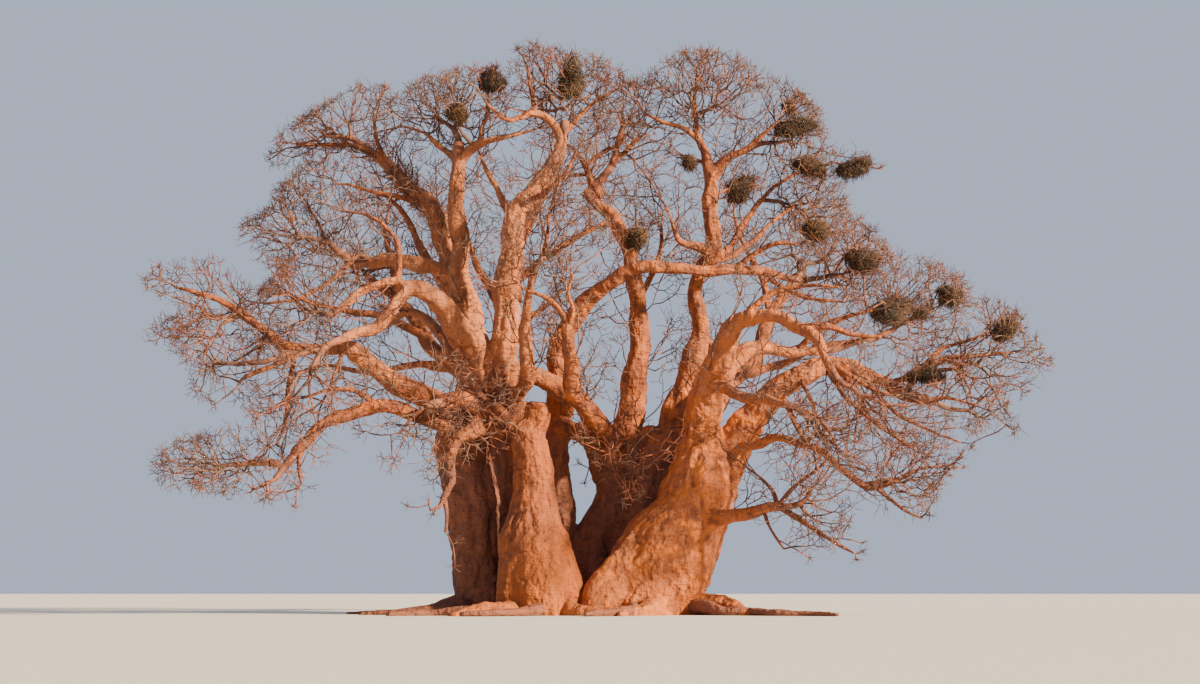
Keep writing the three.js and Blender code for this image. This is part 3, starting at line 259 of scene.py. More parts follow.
# %% Branches
BRANCHES = {
    "far_left_low": ([[-10.5, 9.3, -3.2, .12], [-11.5, 8.8, -3.3, .1], [-12.4, 8.46, -3.2, .07]], 3),
    "far_left_hanging": ([[-10.6, 9.3, -3.2, .11], [-10.84, 8.0, -3.4, .09], [-10.91, 6.9, -3.4, .07],
                          [-11.2, 6.0, -3.5, .05]], 2),
    "reach_left_hanging": ([[-8.8, 9.6, -2.6, .09], [-9.05, 8.9, -2.8, .07], [-9.36, 8.0, -3.0, .05]], 2),
    "tall_left_right": ([[-4.79, 16.1, .9, .2], [-4.5, 16.6, .8, .18], [-4.0, 16.95, .6, .16],
                         [-3.5, 17.17, .5, .12], [-2.9, 17.28, .4, .09], [-2.1, 17.5, .3, .05]], 4),
    "tall_left_left": ([[-4.8, 16.2, .9, .16], [-5.0, 16.55, 1.0, .14], [-5.47, 16.88, 1.2, .1],
                        [-6.05, 17.39, 1.4, .08], [-6.84, 17.64, 1.6, .06]], 4),
    "leaning_left_out": ([[-7.9, 16.6, 3.9, .13], [-8.6, 16.9, 4.0, .1], [-9.5, 16.95, 4.2, .08],
                          [-10.5, 16.9, 4.3, .05]], 4),
    "leaning_left_up": ([[-7.3, 16.1, 3.6, .12], [-7.7, 17.0, 3.4, .09], [-7.9, 17.9, 3.2, .05]], 4),
    "leaning_left_low": ([[-5.9, 14.7, 2.7, .14], [-6.9, 15.0, 2.2, .1], [-7.9, 15.2, 1.8, .07],
                          [-8.8, 15.5, 1.6, .05]], 4),
    "broken_left_out": ([[-7.9, 12.65, 1.8, .12], [-8.35, 12.85, 1.6, .1], [-8.93, 12.31, 1.4, .09],
                         [-9.65, 11.77, 1.2, .08], [-10.44, 11.3, 1.0, .06], [-11.6, 11.12, .8, .04]], 4),
    "twisted_left": ([[-7.0, 11.6, -2.4, .13], [-6.91, 12.49, -2.2, .11], [-6.95, 13.32, -2.0, .1],
                      [-7.38, 13.9, -1.8, .08], [-8.1, 14.36, -1.5, .06], [-9.0, 14.5, -1.2, .04]], 4),
    "shadow_arch_left": ([[-5.0, 9.2, .8, .22], [-5.3, 9.9, 1.4, .19], [-5.83, 10.5, 1.8, .17],
                          [-6.48, 10.85, 2.2, .14], [-7.1, 10.5, 2.6, .11], [-7.74, 10.04, 2.9, .08],
                          [-8.6, 9.9, 3.2, .05]], 4),
    "shadow_lean_left": ([[-5.1, 11.6, 1.3, .24], [-5.6, 12.3, 2.2, .2], [-6.12, 13.18, 2.8, .16],
                          [-6.73, 14.36, 3.4, .1], [-7.3, 15.0, 3.8, .06]], 4),
    "lowest_left_up": ([[-7.5, 7.3, -3.2, .13], [-8.3, 7.9, -3.8, .1], [-9.3, 8.0, -4.4, .07],
                        [-10.2, 7.7, -4.9, .04]], 3),
    "lowest_left_drop": ([[-10.2, 6.1, -4.5, .1], [-10.4, 5.4, -4.8, .08], [-10.3, 4.6, -5.0, .05]], 3),
    "tall_centre_left": ([[-1.1, 17.2, -.4, .18], [-1.25, 17.6, -.5, .17], [-1.69, 18.0, -.6, .15],
                          [-2.23, 18.1, -.8, .13], [-2.88, 17.85, -1.0, .1], [-3.42, 18.14, -1.2, .09],
                          [-3.78, 18.5, -1.4, .06]], 4),
    "tall_centre_up": ([[-2.0, 18.05, -.7, .1], [-2.15, 18.9, -.8, .08], [-2.3, 19.9, -.9, .04]], 3),
    "tall_centre_right": ([[-1.0, 17.3, -.4, .12], [-.5, 17.9, -.1, .1], [.29, 18.6, .2, .06],
                           [.9, 19.0, .4, .04]], 4),
    "tall_centre_shadow": ([[-2.7, 14.0, -.5, .18], [-3.0, 14.6, .1, .15], [-3.35, 15.3, .6, .11],
                            [-3.78, 16.1, 1.0, .09], [-4.14, 16.9, 1.3, .05]], 3),
    "tall_centre_side": ([[-2.2, 14.9, -.7, .12], [-1.6, 15.2, -1.4, .09], [-.9, 15.9, -1.9, .07],
                          [-.5, 16.7, -2.2, .04]], 3),
    "slim_centre_up": ([[-2.2, 11.6, -3.2, .12], [-1.9, 12.4, -3.3, .1], [-1.62, 13.2, -3.4, .08],
                        [-1.5, 14.4, -3.5, .05]], 3),
    "middle_up": ([[.3, 14.7, 1.4, .16], [.05, 15.5, 1.5, .13], [-.22, 16.27, 1.6, .11],
                   [-.6, 16.8, 1.8, .07]], 3),
    "middle_right": ([[.3, 14.75, 1.4, .13], [.35, 15.5, 1.5, .11], [.85, 16.2, 1.6, .1],
                      [1.37, 16.78, 1.7, .08], [1.98, 17.35, 1.9, .05]], 4),
    "middle_fork": ([[-.15, 16.2, 1.6, .09], [.47, 16.67, 1.8, .08], [1.15, 17.1, 2.0, .06],
                     [1.2, 17.9, 2.1, .04]], 3),
    "middle_side": ([[1.6, 11.2, 1.2, .16], [2.1, 11.9, 1.9, .12], [2.5, 12.9, 2.6, .09],
                     [2.6, 14.0, 3.2, .05]], 3),
    "bridge": ([[-.95, 6.5, .65, .34], [-.45, 6.52, .62, .33], [.05, 6.2, .62, .36], [.5, 5.4, .6, .45],
                [.7, 4.6, .5, .5]], 0),
    "tall_right_fork": ([[4.35, 15.9, .8, .17], [4.9, 16.4, .6, .15], [5.6, 16.8, .3, .12],
                         [6.3, 17.3, .1, .09], [6.9, 17.9, 0, .05]], 4),
    "tall_right_left": ([[3.97, 17.1, .9, .11], [3.4, 17.55, .8, .09], [2.7, 17.78, .6, .07],
                         [2.0, 18.1, .5, .05]], 3),
    "tall_right_up": ([[3.98, 17.0, .9, .11], [3.86, 17.9, 1.0, .09], [3.8, 18.7, 1.0, .06],
                       [3.9, 19.5, 1.1, .04]], 3),
    "curved_right": ([[4.4, 12.8, .5, .2], [4.1, 13.12, 0, .18], [3.6, 13.28, -.4, .15],
                      [3.17, 13.5, -.8, .11], [2.99, 14.04, -1.1, .08], [2.7, 14.8, -1.4, .05]], 3),
    "slant_right_low": ([[4.5, 12.7, .7, .15], [5.2, 12.9, 1.4, .12], [5.9, 13.4, 2.0, .1],
                         [6.6, 14.1, 2.6, .07], [7.4, 14.7, 3.0, .05]], 4),
    "slant_right_high": ([[6.0, 14.65, 3.4, .09], [6.7, 15.4, 3.6, .07], [7.56, 15.9, 3.8, .05]], 3),
    "crossing_up": ([[5.2, 12.35, -.2, .12], [5.9, 12.9, -.5, .1], [6.7, 13.3, -.8, .08],
                     [7.6, 13.3, -1.0, .05]], 4),
    "crossing_low": ([[6.2, 12.3, .5, .11], [7.0, 11.7, .2, .09], [8.0, 11.3, -.1, .07],
                      [9.0, 11.2, -.3, .05]], 4),
    "arch_right_up": ([[5.2, 10.2, -3.5, .2], [5.9, 11.0, -3.6, .15], [6.9, 11.6, -3.8, .12],
                       [8.0, 11.8, -4.0, .08], [9.0, 11.7, -4.2, .05]], 5),
    "arch_right_out": ([[7.5, 10.25, -5.0, .15], [8.5, 10.3, -5.0, .12], [9.5, 10.0, -5.0, .09],
                        [10.5, 9.9, -5.0, .06]], 5),
    "behind_right_up": ([[7.4, 9.35, 2.8, .14], [8.2, 10.1, 2.4, .11], [9.2, 10.6, 2.0, .08],
                         [10.2, 10.9, 1.6, .05]], 5),
    "reach_right_mid": ([[10.8, 8.2, -2.0, .16], [11.34, 8.42, -2.1, .14], [11.95, 8.82, -2.2, .13],
                         [12.78, 9.11, -2.3, .1], [14.22, 9.25, -2.4, .07], [15.1, 9.36, -2.5, .04]], 5),
    "reach_right_high": ([[12.0, 8.85, -2.2, .1], [12.6, 9.45, -1.8, .08], [13.4, 9.7, -1.4, .07],
                          [14.4, 10.08, -1.0, .05]], 4),
    "reach_right_low": ([[10.3, 8.4, -2.0, .14], [11.0, 7.8, -2.4, .11], [11.9, 7.6, -2.8, .09],
                         [12.9, 7.7, -3.1, .06], [13.9, 7.4, -3.3, .04]], 5),
    "reach_right_drop": ([[9.0, 8.7, -1.9, .15], [9.6, 7.9, -2.6, .12], [10.0, 7.0, -3.1, .09],
                          [10.8, 6.5, -3.5, .06]], 4),
    "shelf_right_drop": ([[7.1, 7.4, -6.5, .11], [7.35, 6.8, -6.8, .09], [7.6, 6.3, -7.2, .07],
                          [8.0, 5.9, -7.4, .04]], 2),
    "shelf_right_out": ([[7.05, 7.45, -6.5, .12], [7.99, 7.09, -7.0, .1], [8.5, 6.6, -7.4, .07],
                         [8.82, 6.0, -7.7, .04]], 3),
    "winding_right_out": ([[9.0, 5.15, -4.2, .12], [9.79, 4.54, -4.5, .11], [10.37, 4.5, -4.6, .09],
                           [10.98, 4.79, -4.7, .08], [11.81, 5.15, -4.9, .06], [12.78, 5.29, -5.0, .04]], 4),
    "winding_right_low": ([[10.2, 4.5, -4.6, .08], [10.87, 3.96, -4.8, .07], [11.3, 3.64, -5.0, .05],
                           [11.81, 3.42, -5.1, .04]], 2),
    "winding_right_up": ([[7.6, 6.05, -3.5, .09], [8.3, 6.5, -3.8, .07], [9.2, 6.6, -4.1, .05]], 4),
    "lowest_right_up": ([[6.7, 3.8, -4.1, .1], [7.3, 4.5, -4.5, .08], [8.1, 5.1, -4.7, .06],
                         [8.6, 5.6, -4.9, .04]], 3),
    "lowest_right_out": ([[6.85, 3.75, -4.25, .12], [7.7, 3.2, -4.5, .1], [8.6, 2.6, -4.8, .07],
                          [9.4, 2.15, -4.9, .04]], 2),
    "stub_front_curl": ([[-5.2, 7.5, -3.0, .13], [-5.7, 7.5, -3.5, .1], [-6.3, 7.05, -3.7, .08],
                         [-6.7, 6.6, -3.8, .05]], 3),
    "stub_front_knob": ([[-3.9, 7.4, -1.4, .3], [-3.4, 7.35, -2.2, .24], [-3.0, 7.0, -2.9, .15]], 1),
    "broken_end": ([[-5.2, 4.1, -3.9, .1], [-5.1, 3.5, -4.0, .07], [-5.15, 2.9, -4.0, .05]], 0),
    "broken_fork": ([[-5.25, 4.0, -3.9, .1], [-5.4, 3.78, -4.1, .08], [-5.7, 3.68, -4.3, .05]], 0),
    "back_left_low": ([[-4.6, 8.7, 5.2, .2], [-6.2, 8.9, 6.4, .16], [-7.8, 8.6, 7.4, .12],
                       [-9.4, 8.9, 8.2, .08], [-10.6, 8.6, 8.8, .05]], 6),
    "back_left_out": ([[-5.8, 9.8, 6.0, .18], [-7.4, 10.6, 6.2, .14], [-9.2, 10.9, 6.4, .1],
                       [-10.8, 11.4, 6.6, .06]], 6),
    "back_left_up": ([[-6.9, 11.2, 7.4, .14], [-7.2, 12.6, 8.2, .11], [-7.4, 13.8, 9.0, .07],
                      [-7.2, 15.0, 9.6, .04]], 5),
    "back_left_deep": ([[-3.8, 8.1, 4.7, .2], [-4.4, 9.2, 6.6, .16], [-4.8, 10.4, 8.2, .12],
                        [-5.0, 11.4, 9.8, .06]], 6),
    "back_centre_left": ([[-3.0, 10.6, 5.0, .18], [-3.8, 12.0, 6.2, .14], [-4.4, 13.4, 7.2, .1],
                          [-4.6, 14.8, 8.0, .05]], 6),
    "back_centre_right": ([[-2.8, 11.8, 5.6, .17], [-1.6, 12.8, 7.0, .13], [-.4, 13.6, 8.2, .1],
                           [.8, 14.2, 9.4, .05]], 6),
    "back_centre_deep": ([[-3.0, 9.6, 4.5, .18], [-2.4, 10.4, 6.2, .14], [-1.6, 11.0, 8.0, .1],
                          [-.8, 11.8, 9.6, .05]], 6),
    "back_right_out": ([[5.2, 8.5, 3.9, .2], [6.8, 8.9, 5.4, .15], [8.4, 9.6, 6.8, .11],
                        [10.2, 9.8, 7.8, .06]], 6),
    "back_right_deep": ([[4.6, 8.0, 3.2, .2], [4.4, 9.0, 5.6, .16], [4.2, 10.2, 7.6, .12],
                         [3.8, 11.4, 9.4, .06]], 6),
    "back_right_up": ([[6.5, 10.6, 5.9, .15], [6.2, 12.0, 6.8, .12], [5.6, 13.2, 7.8, .08],
                       [5.2, 14.4, 8.6, .04]], 5),
    "ridge": ([[2.1, 3.2, -1.9, .4], [1.7, 2.6, -2.1, .45], [1.15, 1.95, -2.5, .42], [.52, 1.3, -3.0, .36],
               [.15, .7, -3.4, .32], [0, -.1, -3.8, .26]], 0),
    "seam": ([[1.5, 3.4, .6, .4], [1.8, 4.8, .6, .5], [2.1, 5.8, .6, .5], [2.3, 6.6, .65, .36]], 0),
    "log": ([[-2.5, 8.5, -1.1, .26], [-1.9, 8.5, -1.0, .36], [-1.3, 8.2, -.6, .37], [-.9, 7.7, .1, .33],
             [-.9, 7.1, .6, .28]], 0),
    "knob": ([[.9, 6.2, -.6, .34], [.72, 5.85, -1.3, .26], [.66, 5.5, -1.5, .15], [.7, 5.25, -1.55, .07]], 0),
    "knob_left": ([[.72, 5.7, -1.4, .05], [.25, 5.85, -1.8, .035], [-.3, 6.1, -2.2, .025]], 3),
    "knob_right": ([[.75, 5.5, -1.45, .08], [1.4, 5.3, -1.9, .05], [2.1, 5.25, -2.3, .03]], 2),
    "knob_low": ([[.7, 5.3, -1.5, .06], [1.05, 4.85, -1.8, .045], [1.4, 4.3, -2.1, .03]], 3),
    "knob_up": ([[.9, 6.1, -.8, .08], [1.5, 6.3, -1.4, .05], [2.2, 6.55, -1.8, .03]], 1),
    "rising_front_left": ([[-.8, 10.3, -4.4, .15], [-1.1, 10.9, -4.6, .12], [-1.7, 11.4, -4.7, .08],
                           [-2.3, 11.6, -4.8, .05]], 3),
    "rising_front_up": ([[-.8, 10.2, -4.4, .11], [-.62, 10.9, -4.7, .08], [-.78, 11.5, -4.9, .06],
                         [-.6, 12.2, -5.1, .04]], 3),
    "far_left_up": ([[-9.9, 9.45, -3.05, .18], [-11.0, 9.6, -3.3, .18], [-12.0, 10.35, -3.4, .16],
                     [-12.9, 10.95, -3.4, .13], [-13.8, 11.4, -3.5, .1], [-14.8, 11.65, -3.6, .05]], 5),
    "reach_right_first": ([[7.6, 8.3, -2.2, .1], [8.0, 7.5, -2.9, .08], [8.2, 6.6, -3.4, .06],
                           [8.9, 5.9, -3.8, .035]], 2),
    "reach_right_second": ([[8.6, 8.6, -2.2, .1], [9.3, 7.6, -3.4, .08], [10.2, 6.8, -4.2, .06],
                            [11.4, 6.0, -4.6, .04]], 2),
    "reach_right_third": ([[9.9, 8.4, -2.2, .1], [10.8, 7.3, -3.0, .08], [12.0, 6.6, -3.6, .05],
                           [13.3, 6.1, -4.0, .035]], 3),
    "arch_right_low": ([[8.4, 9.2, -5.7, .12], [9.2, 8.6, -5.9, .1], [10.2, 8.0, -6.1, .07],
                        [11.2, 7.7, -6.3, .04]], 2),
    "lowest_right_back": ([[6.7, 3.8, -4.1, .09], [6.5, 4.4, -4.0, .07], [6.0, 4.9, -3.8, .05],
                           [5.5, 5.3, -3.7, .035]], 2),
    "lowest_right_hanging": ([[6.2, 3.65, -3.8, .08], [6.4, 3.1, -4.0, .06], [6.9, 2.3, -4.2, .035]], 1),
}

# Roots that lie on the floor, as low ridges that run out from the foot.
ROOTS = {
    "root_left": [[-4.4, .25, -1.2, .3], [-5.4, .1, -1.9, .2], [-6.6, .05, -2.2, .16], [-8.2, 0, -2.1, .08]],
    "root_front_left": [[-3.2, .2, -3.6, .28], [-4.2, .08, -4.4, .2], [-5.6, .03, -4.3, .14],
                        [-7.2, 0, -5.1, .08]],
    "root_front": [[-1.6, .2, -4.0, .26], [-2.4, .06, -5.2, .18], [-3.6, .02, -6.2, .12],
                   [-4.6, 0, -6.5, .07]],
    "root_right": [[3.6, .3, -2.4, .3], [4.6, .1, -3.6, .22], [6.2, .04, -3.9, .15], [8.0, 0, -4.6, .08]],
    "root_back_right": [[3.7, .25, -.6, .3], [5.2, .08, .2, .2], [7.0, .02, .3, .13], [8.2, 0, .9, .07]],
    "root_middle": [[1.6, .2, -3.6, .26], [1.2, .06, -5.0, .18], [.2, .03, -6.0, .12], [-.2, 0, -6.9, .07]],
    "root_far_left": [[-4.6, .2, .4, .24], [-5.8, .06, .6, .18], [-7.4, .02, 0, .12], [-8.6, 0, .2, .07]],
    "root_right_fork": [[5.6, .06, -3.8, .16], [6.4, .03, -4.8, .13], [7.8, .01, -5.3, .09],
                        [8.8, 0, -6.0, .06]],
}
print(len(BRANCHES), "branches,", len(ROOTS), "roots")

# %% [markdown]
# A limb follows a smooth curve through its few places. The Catmull-Rom rule gives such a curve: it passes
# through every place, and its direction at each one comes from the two neighbours.

# %% Curves
def smooth_route(route, step):
    """Places every step or so along the curve, each with its radius."""
    at = [seen(place) for place in route]
    radius = [place[3] * spread_at(place[2]) for place in route]
    last = len(at) - 1
    places = []
    for i in range(last):
        before, start, end, after = at[max(i - 1, 0)], at[i], at[i + 1], at[min(i + 2, last)]
        pieces = max(2, round((end - start).length / step))
        for k in range(pieces + (i == last - 1)):
            t = k / pieces
            point = (2 * start + (end - before) * t + (2 * before - 5 * start + 4 * end - after) * t ** 2
                     + (3 * start - before - 3 * end + after) * t ** 3) / 2
            places.append((point, radius[i] + (radius[i + 1] - radius[i]) * t))
    return places


def cross_axis(along):
    """The axis furthest from a direction, so that rings around it never twist."""
    axes = (Vector((1, 0, 0)), Vector((0, 1, 0)), Vector((0, 0, 1)))
    return min(axes, key=lambda axis: abs(axis.dot(along)))


def ring_frames(places):
    """For each place its point, radius, direction, side and front."""
    reference = cross_axis((places[-1][0] - places[0][0]).normalized())
    frames = []
    for i, (point, radius) in enumerate(places):
        along = (places[min(i + 1, len(places) - 1)][0] - places[max(i - 1, 0)][0]).normalized()
        side = along.cross(reference).normalized()
        frames.append((point, radius, along, side, side.cross(along)))
    return frames


# %% [markdown]
# Each limb starts as a row of circles that are bridged into a tube. A real limb is never quite round or
# straight, so the rings swell and shrink a little along the way and their centres wander, less so in limbs
# whose radius is over half a metre. A broken limb gets a few shrinking rings more, as a blunt end with a
# sunken middle.

# %% Tubes of rings
# How much the radius swells and the centre wanders, against the radius. Thicker limbs than STEADY_FROM do
# both less.
SWELL = 0.2
WANDER = 0.55
STEADY_FROM = 0.5
# From one ring to the next on stems and boughs, on branches, and where shoots stand.
RING_STEP = 0.3
BRANCH_STEP = 0.2
SHOOT_STEP = 0.25
# The waves of a limb are this long, plus so many times its radius.
WAVE = 0.6
WAVE_PER_RADIUS = 2.2
# Where the noise is read that moves a centre across, back and up.
NOISE_SHIFTS = (13.7, 41.3, 77.9)
# How far the blunt end of each broken limb stands out, against its radius.
STUMPS = {"front_left": 1.0, "hanging_broken": 1.5, "broken_left": 0.8, "broken_fork": 1.0}
# The rings of a blunt end: the step outward and the radius, both as shares of the limb's radius.
STUMP_RINGS = ((0.1, 0.95), (0.15, 0.82), (0.1, 0.58), (0.02, 0.3))


def living_places(name, route, step=RING_STEP):
    """The curve's places with the swelling and wandering of a grown limb."""
    seed = sum(map(ord, name)) * 0.37
    places, run = [], 0.0
    smooth = smooth_route(route, step)
    for i, (point, radius) in enumerate(smooth):
        if i:
            run += (point - smooth[i - 1][0]).length
        pace = run / (WAVE + WAVE_PER_RADIUS * radius)
        most = min(1, STEADY_FROM / radius)
        swell = 1 + SWELL * most * (noise.noise(Vector((pace, seed, 0)))
                                    + 0.6 * noise.noise(Vector((pace * 2.7, 0, seed))))
        aside = Vector([noise.noise(Vector((pace * 0.8, seed, shift))) for shift in NOISE_SHIFTS])
        sway = aside * WANDER * radius * most * min(run, 1)
        places.append((point + sway, radius * swell))
    if name in STUMPS:
        point, radius = places[-1]
        along = (point - places[-2][0]).normalized()
        for out, share in STUMP_RINGS:
            places.append((point + along * radius * out * STUMPS[name], radius * share))
    return places


def tube(places, segments):
    """A closed tube through the places, as a bmesh."""
    made = bmesh.new()
    rings = []
    for point, radius, along, side, front in ring_frames(places):
        turn = Matrix((side, front, side.cross(front))).transposed().to_4x4()
        ring = bmesh.ops.create_circle(made, cap_ends=False, segments=segments, radius=radius,
                                       matrix=Matrix.Translation(point) @ turn)
        rings.append(list(dict.fromkeys(edge for vert in ring["verts"] for edge in vert.link_edges)))
    for lower, upper in zip(rings, rings[1:]):
        bmesh.ops.bridge_loops(made, edges=lower + upper)
    bmesh.ops.holes_fill(made, edges=[edge for edge in made.edges if edge.is_boundary], sides=segments)
    bmesh.ops.recalc_face_normals(made, faces=made.faces[:])
    return made


def segments_for(radius):
    """How many sides the rings of a limb with this radius have."""
    return 24 if radius > 0.5 else 14 if radius > 0.2 else 9


# %% [markdown]
# One skin has to cover each family of stems and boughs, with soft fillets where a bough leaves its stem.
# The tubes of a family are joined, and a voxel remesh turns them into one closed skin. Smoothing then
# rounds the joints, less where a limb is thin, because smoothing also makes thin limbs thinner.

# %% Families of limbs
# Each family's stems, boughs and those branches that are joined to its skin.
FAMILIES = {
    "left": (["left"], ["arch_left", "arch_left_drop", "upper_left", "reach_left", "lowest_left", "tall_left",
                        "leaning_left", "broken_left", "tall_centre", "slim_centre", "hanging_broken",
                        "stub_front"],
             ["tall_left_right", "tall_left_left", "tall_centre_left", "shadow_arch_left", "shadow_lean_left",
              "tall_centre_shadow", "stub_front_curl", "stub_front_knob", "log"]),
    "front_left": (["front_left"], [], []),
    "middle": (["middle", "inner_left", "inner_right"],
               ["diagonal", "crossing", "middle", "rising_front", "tall_right", "top_right", "slant_right",
                "back_right"], ["bridge", "seam", "curved_right", "tall_right_fork", "knob", "middle_up"]),
    "right": (["right"], ["arch_right", "arch_right_drop", "behind_right", "reach_right", "shelf_right",
                          "winding_right", "lowest_right"], ["arch_right_up", "ridge"]),
    "back": (["back"], ["back_left", "back_centre"],
             ["back_left_low", "back_left_deep", "back_centre_left", "back_centre_deep"]),
}
# The step of each skin's remesh, in metres.
VOXEL = {"left": 0.07, "front_left": 0.047, "middle": 0.066, "right": 0.058, "back": 0.095}
SMOOTH_ROUNDS = 5
SMOOTH_LEVELS = 12
# Limbs with this radius are smoothed least and most.
THIN = 0.14
THICK = 0.5
# The folds of a stem's foot: how many there are, how deep, and how fast they fade with height.
FLARE_FOLDS = 5
FLARE_SMALL_FOLDS = 9
FLARE_DEPTH = 0.11
FLARE_HEIGHT = 1.3
FLARE_TOP = 2.5


def rooted(root, route):
    """The root with one more place before its first, higher up inside its stem."""
    across, up, back, radius = root[0]
    low, high = route[1], route[2]
    share = min((up + 1.2) / high[1], 1)
    inside = [low[k] + (high[k] - low[k]) * share for k in range(3)]
    return [[(across + inside[0]) / 2, up + 1.1, (back + inside[2]) / 2, 0.6 * radius]] + root


# The right stem is slimmer halfway up than its solid, on the side that faces the middle stems. The stem that
# is broken off narrows more from its foot to its top.
FINER = {"front_left": [[-1.62, -0.8, -2.6, 1.9], [-1.62, 0, -2.6, 1.68], [-1.68, 1.2, -2.55, 1.5],
                        [-1.84, 2.3, -2.5, 1.28], [-2.06, 3.5, -2.5, 0.97], [-2.13, 4.4, -2.45, 0.78],
                        [-2.14, 5.3, -2.4, 0.67], [-2.08, 6.3, -2.35, 0.62], [-1.84, 6.9, -2.3, 0.52],
                        [-1.7, 7.38, -2.3, 0.46]],
         "right": [[1.5, -0.8, -1.6, 2.25], [1.75, 0, -1.6, 2.0], [2.8, 2.23, -1.5, 1.77],
                   [3.42, 3.4, -1.45, 1.42], [3.76, 4.2, -1.4, 1.3], [4.13, 5.3, -1.4, 1.2],
                   [4.0, 6.6, -1.6, 0.66]]}


def family_routes(stems, boughs, branches):
    """Every limb's name and living places, roots among them."""
    routes = []
    for stem in stems:
        route = FINER.get(stem, STEMS[stem]["route"])
        routes.append((stem, living_places(stem, route)))
        for number, root in enumerate(STEMS[stem].get("roots", [])):
            routes.append((stem + "_root", living_places(stem + str(number), rooted(root, route))))
    routes += [(bough, living_places(bough, BOUGHS[bough])) for bough in boughs]
    routes += [(branch, living_places(branch, BRANCHES[branch][0])) for branch in branches]
    return routes


def flare(made, stem, route):
    """Folds that spread the foot of a stem, deepest at the floor."""
    foot = seen(route[1])
    for vert in made.verts:
        height = max(vert.co.z, 0)
        angle = math.atan2(vert.co.y - foot.y, vert.co.x - foot.x)
        fold = math.cos(FLARE_FOLDS * angle + sum(map(ord, stem)))
        fold += 0.5 * math.cos(FLARE_SMALL_FOLDS * angle + len(stem))
        share = FLARE_DEPTH * fold * math.exp(-height / FLARE_HEIGHT)
        if height < FLARE_TOP:
            vert.co += Vector((vert.co.x - foot.x, vert.co.y - foot.y, 0)) * share


def object_of(made, name):
    """An object whose mesh is the bmesh."""
    mesh = bpy.data.meshes.new(name)
    made.to_mesh(mesh)
    made.free()
    piece = bpy.data.objects.new(name, mesh)
    bpy.context.scene.collection.objects.link(piece)
    return piece


def applied(piece):
    """The piece with its modifiers worked into its mesh."""
    graph = bpy.context.evaluated_depsgraph_get()
    finished = bpy.data.meshes.new_from_object(piece.evaluated_get(graph))
    old = piece.data
    piece.modifiers.clear()
    piece.data = finished
    bpy.data.meshes.remove(old)
    return piece


def add_part(joined, made):
    """Moves all that is in one bmesh into another."""
    part = bpy.data.meshes.new("part")
    made.to_mesh(part)
    made.free()
    joined.from_mesh(part)
    bpy.data.meshes.remove(part)


def fused_skin(name, routes, voxel):
    """One closed skin over all the limbs of a family."""
    joined = bmesh.new()
    for limb, places in routes:
        made = tube(places, segments_for(max(radius for _, radius in places)))
        if limb in STEMS:
            flare(made, limb, STEMS[limb]["route"])
        add_part(joined, made)
    piece = object_of(joined, name)
    remesh = piece.modifiers.new("skin", "REMESH")
    remesh.mode = "VOXEL"
    remesh.voxel_size = voxel
    return applied(piece)


# %% [markdown]
# To wrinkle the bark the right way round, each point of the skin has to know its place on its limb: how far
# along it is, on which side, and how thick the limb is there. The nearest sample of the limbs' middle lines
# tells all three.

# %% Where a point lies on its limb
# How far apart two limbs read the noise, so that they don't have the same folds.
LIMB_SHIFT = 31


def limb_samples(routes):
    """Place, radius, three directions and distance along, at the places of the limbs and halfway between."""
    rows = []
    for number, (name, places) in enumerate(routes):
        run = 0.0
        frames = ring_frames(places)
        for i, (point, radius, along, side, front) in enumerate(frames):
            if i:
                run += (point - frames[i - 1][0]).length
            rows.append((point, radius, along, side, front, run + LIMB_SHIFT * number))
            if i + 1 < len(frames):
                middle = (point + frames[i + 1][0]) / 2
                rows.append((middle, (radius + frames[i + 1][1]) / 2, along, side, front,
                             run + (middle - point).length + LIMB_SHIFT * number))
    return rows


def limb_places(points, routes):
    """The limb's radius at every point, and the point's distances along, to the side and to the front."""
    rows = limb_samples(routes)
    tree = KDTree(len(rows))
    for i, row in enumerate(rows):
        tree.insert(row[0], i)
    tree.balance()
    nearest = np.array([tree.find(point)[1] for point in points])
    middle, radius, along, side, front, run = [np.array(column)[nearest] for column in zip(*rows)]
    off = points - middle
    run = run + (off * along).sum(1)
    return radius, run, (off * side).sum(1), (off * front).sum(1)


def noise_at(points, seed):
    """Smooth noise, whose lumps are about one unit across."""
    shift = Vector((seed * 17.3, seed * 5.1, seed * 29.7))
    return np.array([noise.noise(Vector(point) + shift) for point in points])


# %% [markdown]
# Baobab bark is smooth but never even. It hangs in folds like an elephant's skin: rounded lumps parted by
# creases, long flutes up the stems, short wrinkles round the boughs and a burl here and there. Each of these
# is a noise with a size of its own. Its absolute value gives rounded lumps with sharp creases between them.

# %% The relief of bark
# The size and the depth of each form in metres. Flutes, wrinkles and folds follow their limb, with one size
# across it and one along it.
LUMP_SIZE, LUMP_DEPTH = 1.15, 0.2
FLUTE_SIZE, FLUTE_DEPTH = (0.42, 3.2), 0.17
WRINKLE_SIZE, WRINKLE_DEPTH = (0.8, 0.2), 0.05
KNOB_SIZE, KNOB_DEPTH = 0.3, 0.05
FOLD_SIZE, FOLD_DEPTH = (0.2, 0.5), 0.055
BURL_SIZE, BURL_DEPTH = 0.62, 0.09
# A noise's usual size, which is taken off so that the limbs stay as thick as their routes say.
USUAL = 0.2
# Burls stand only where their noise is above this.
BURL_FROM = 0.28
# Lumps begin on limbs with the first radius and are full on those thicker by the second. The whole relief is
# full from a radius on, and never falls below its least share.
LUMPS_FROM, LUMPS_OVER = 0.45, 0.5
FULL_RELIEF = 0.6
LEAST_RELIEF = 0.16


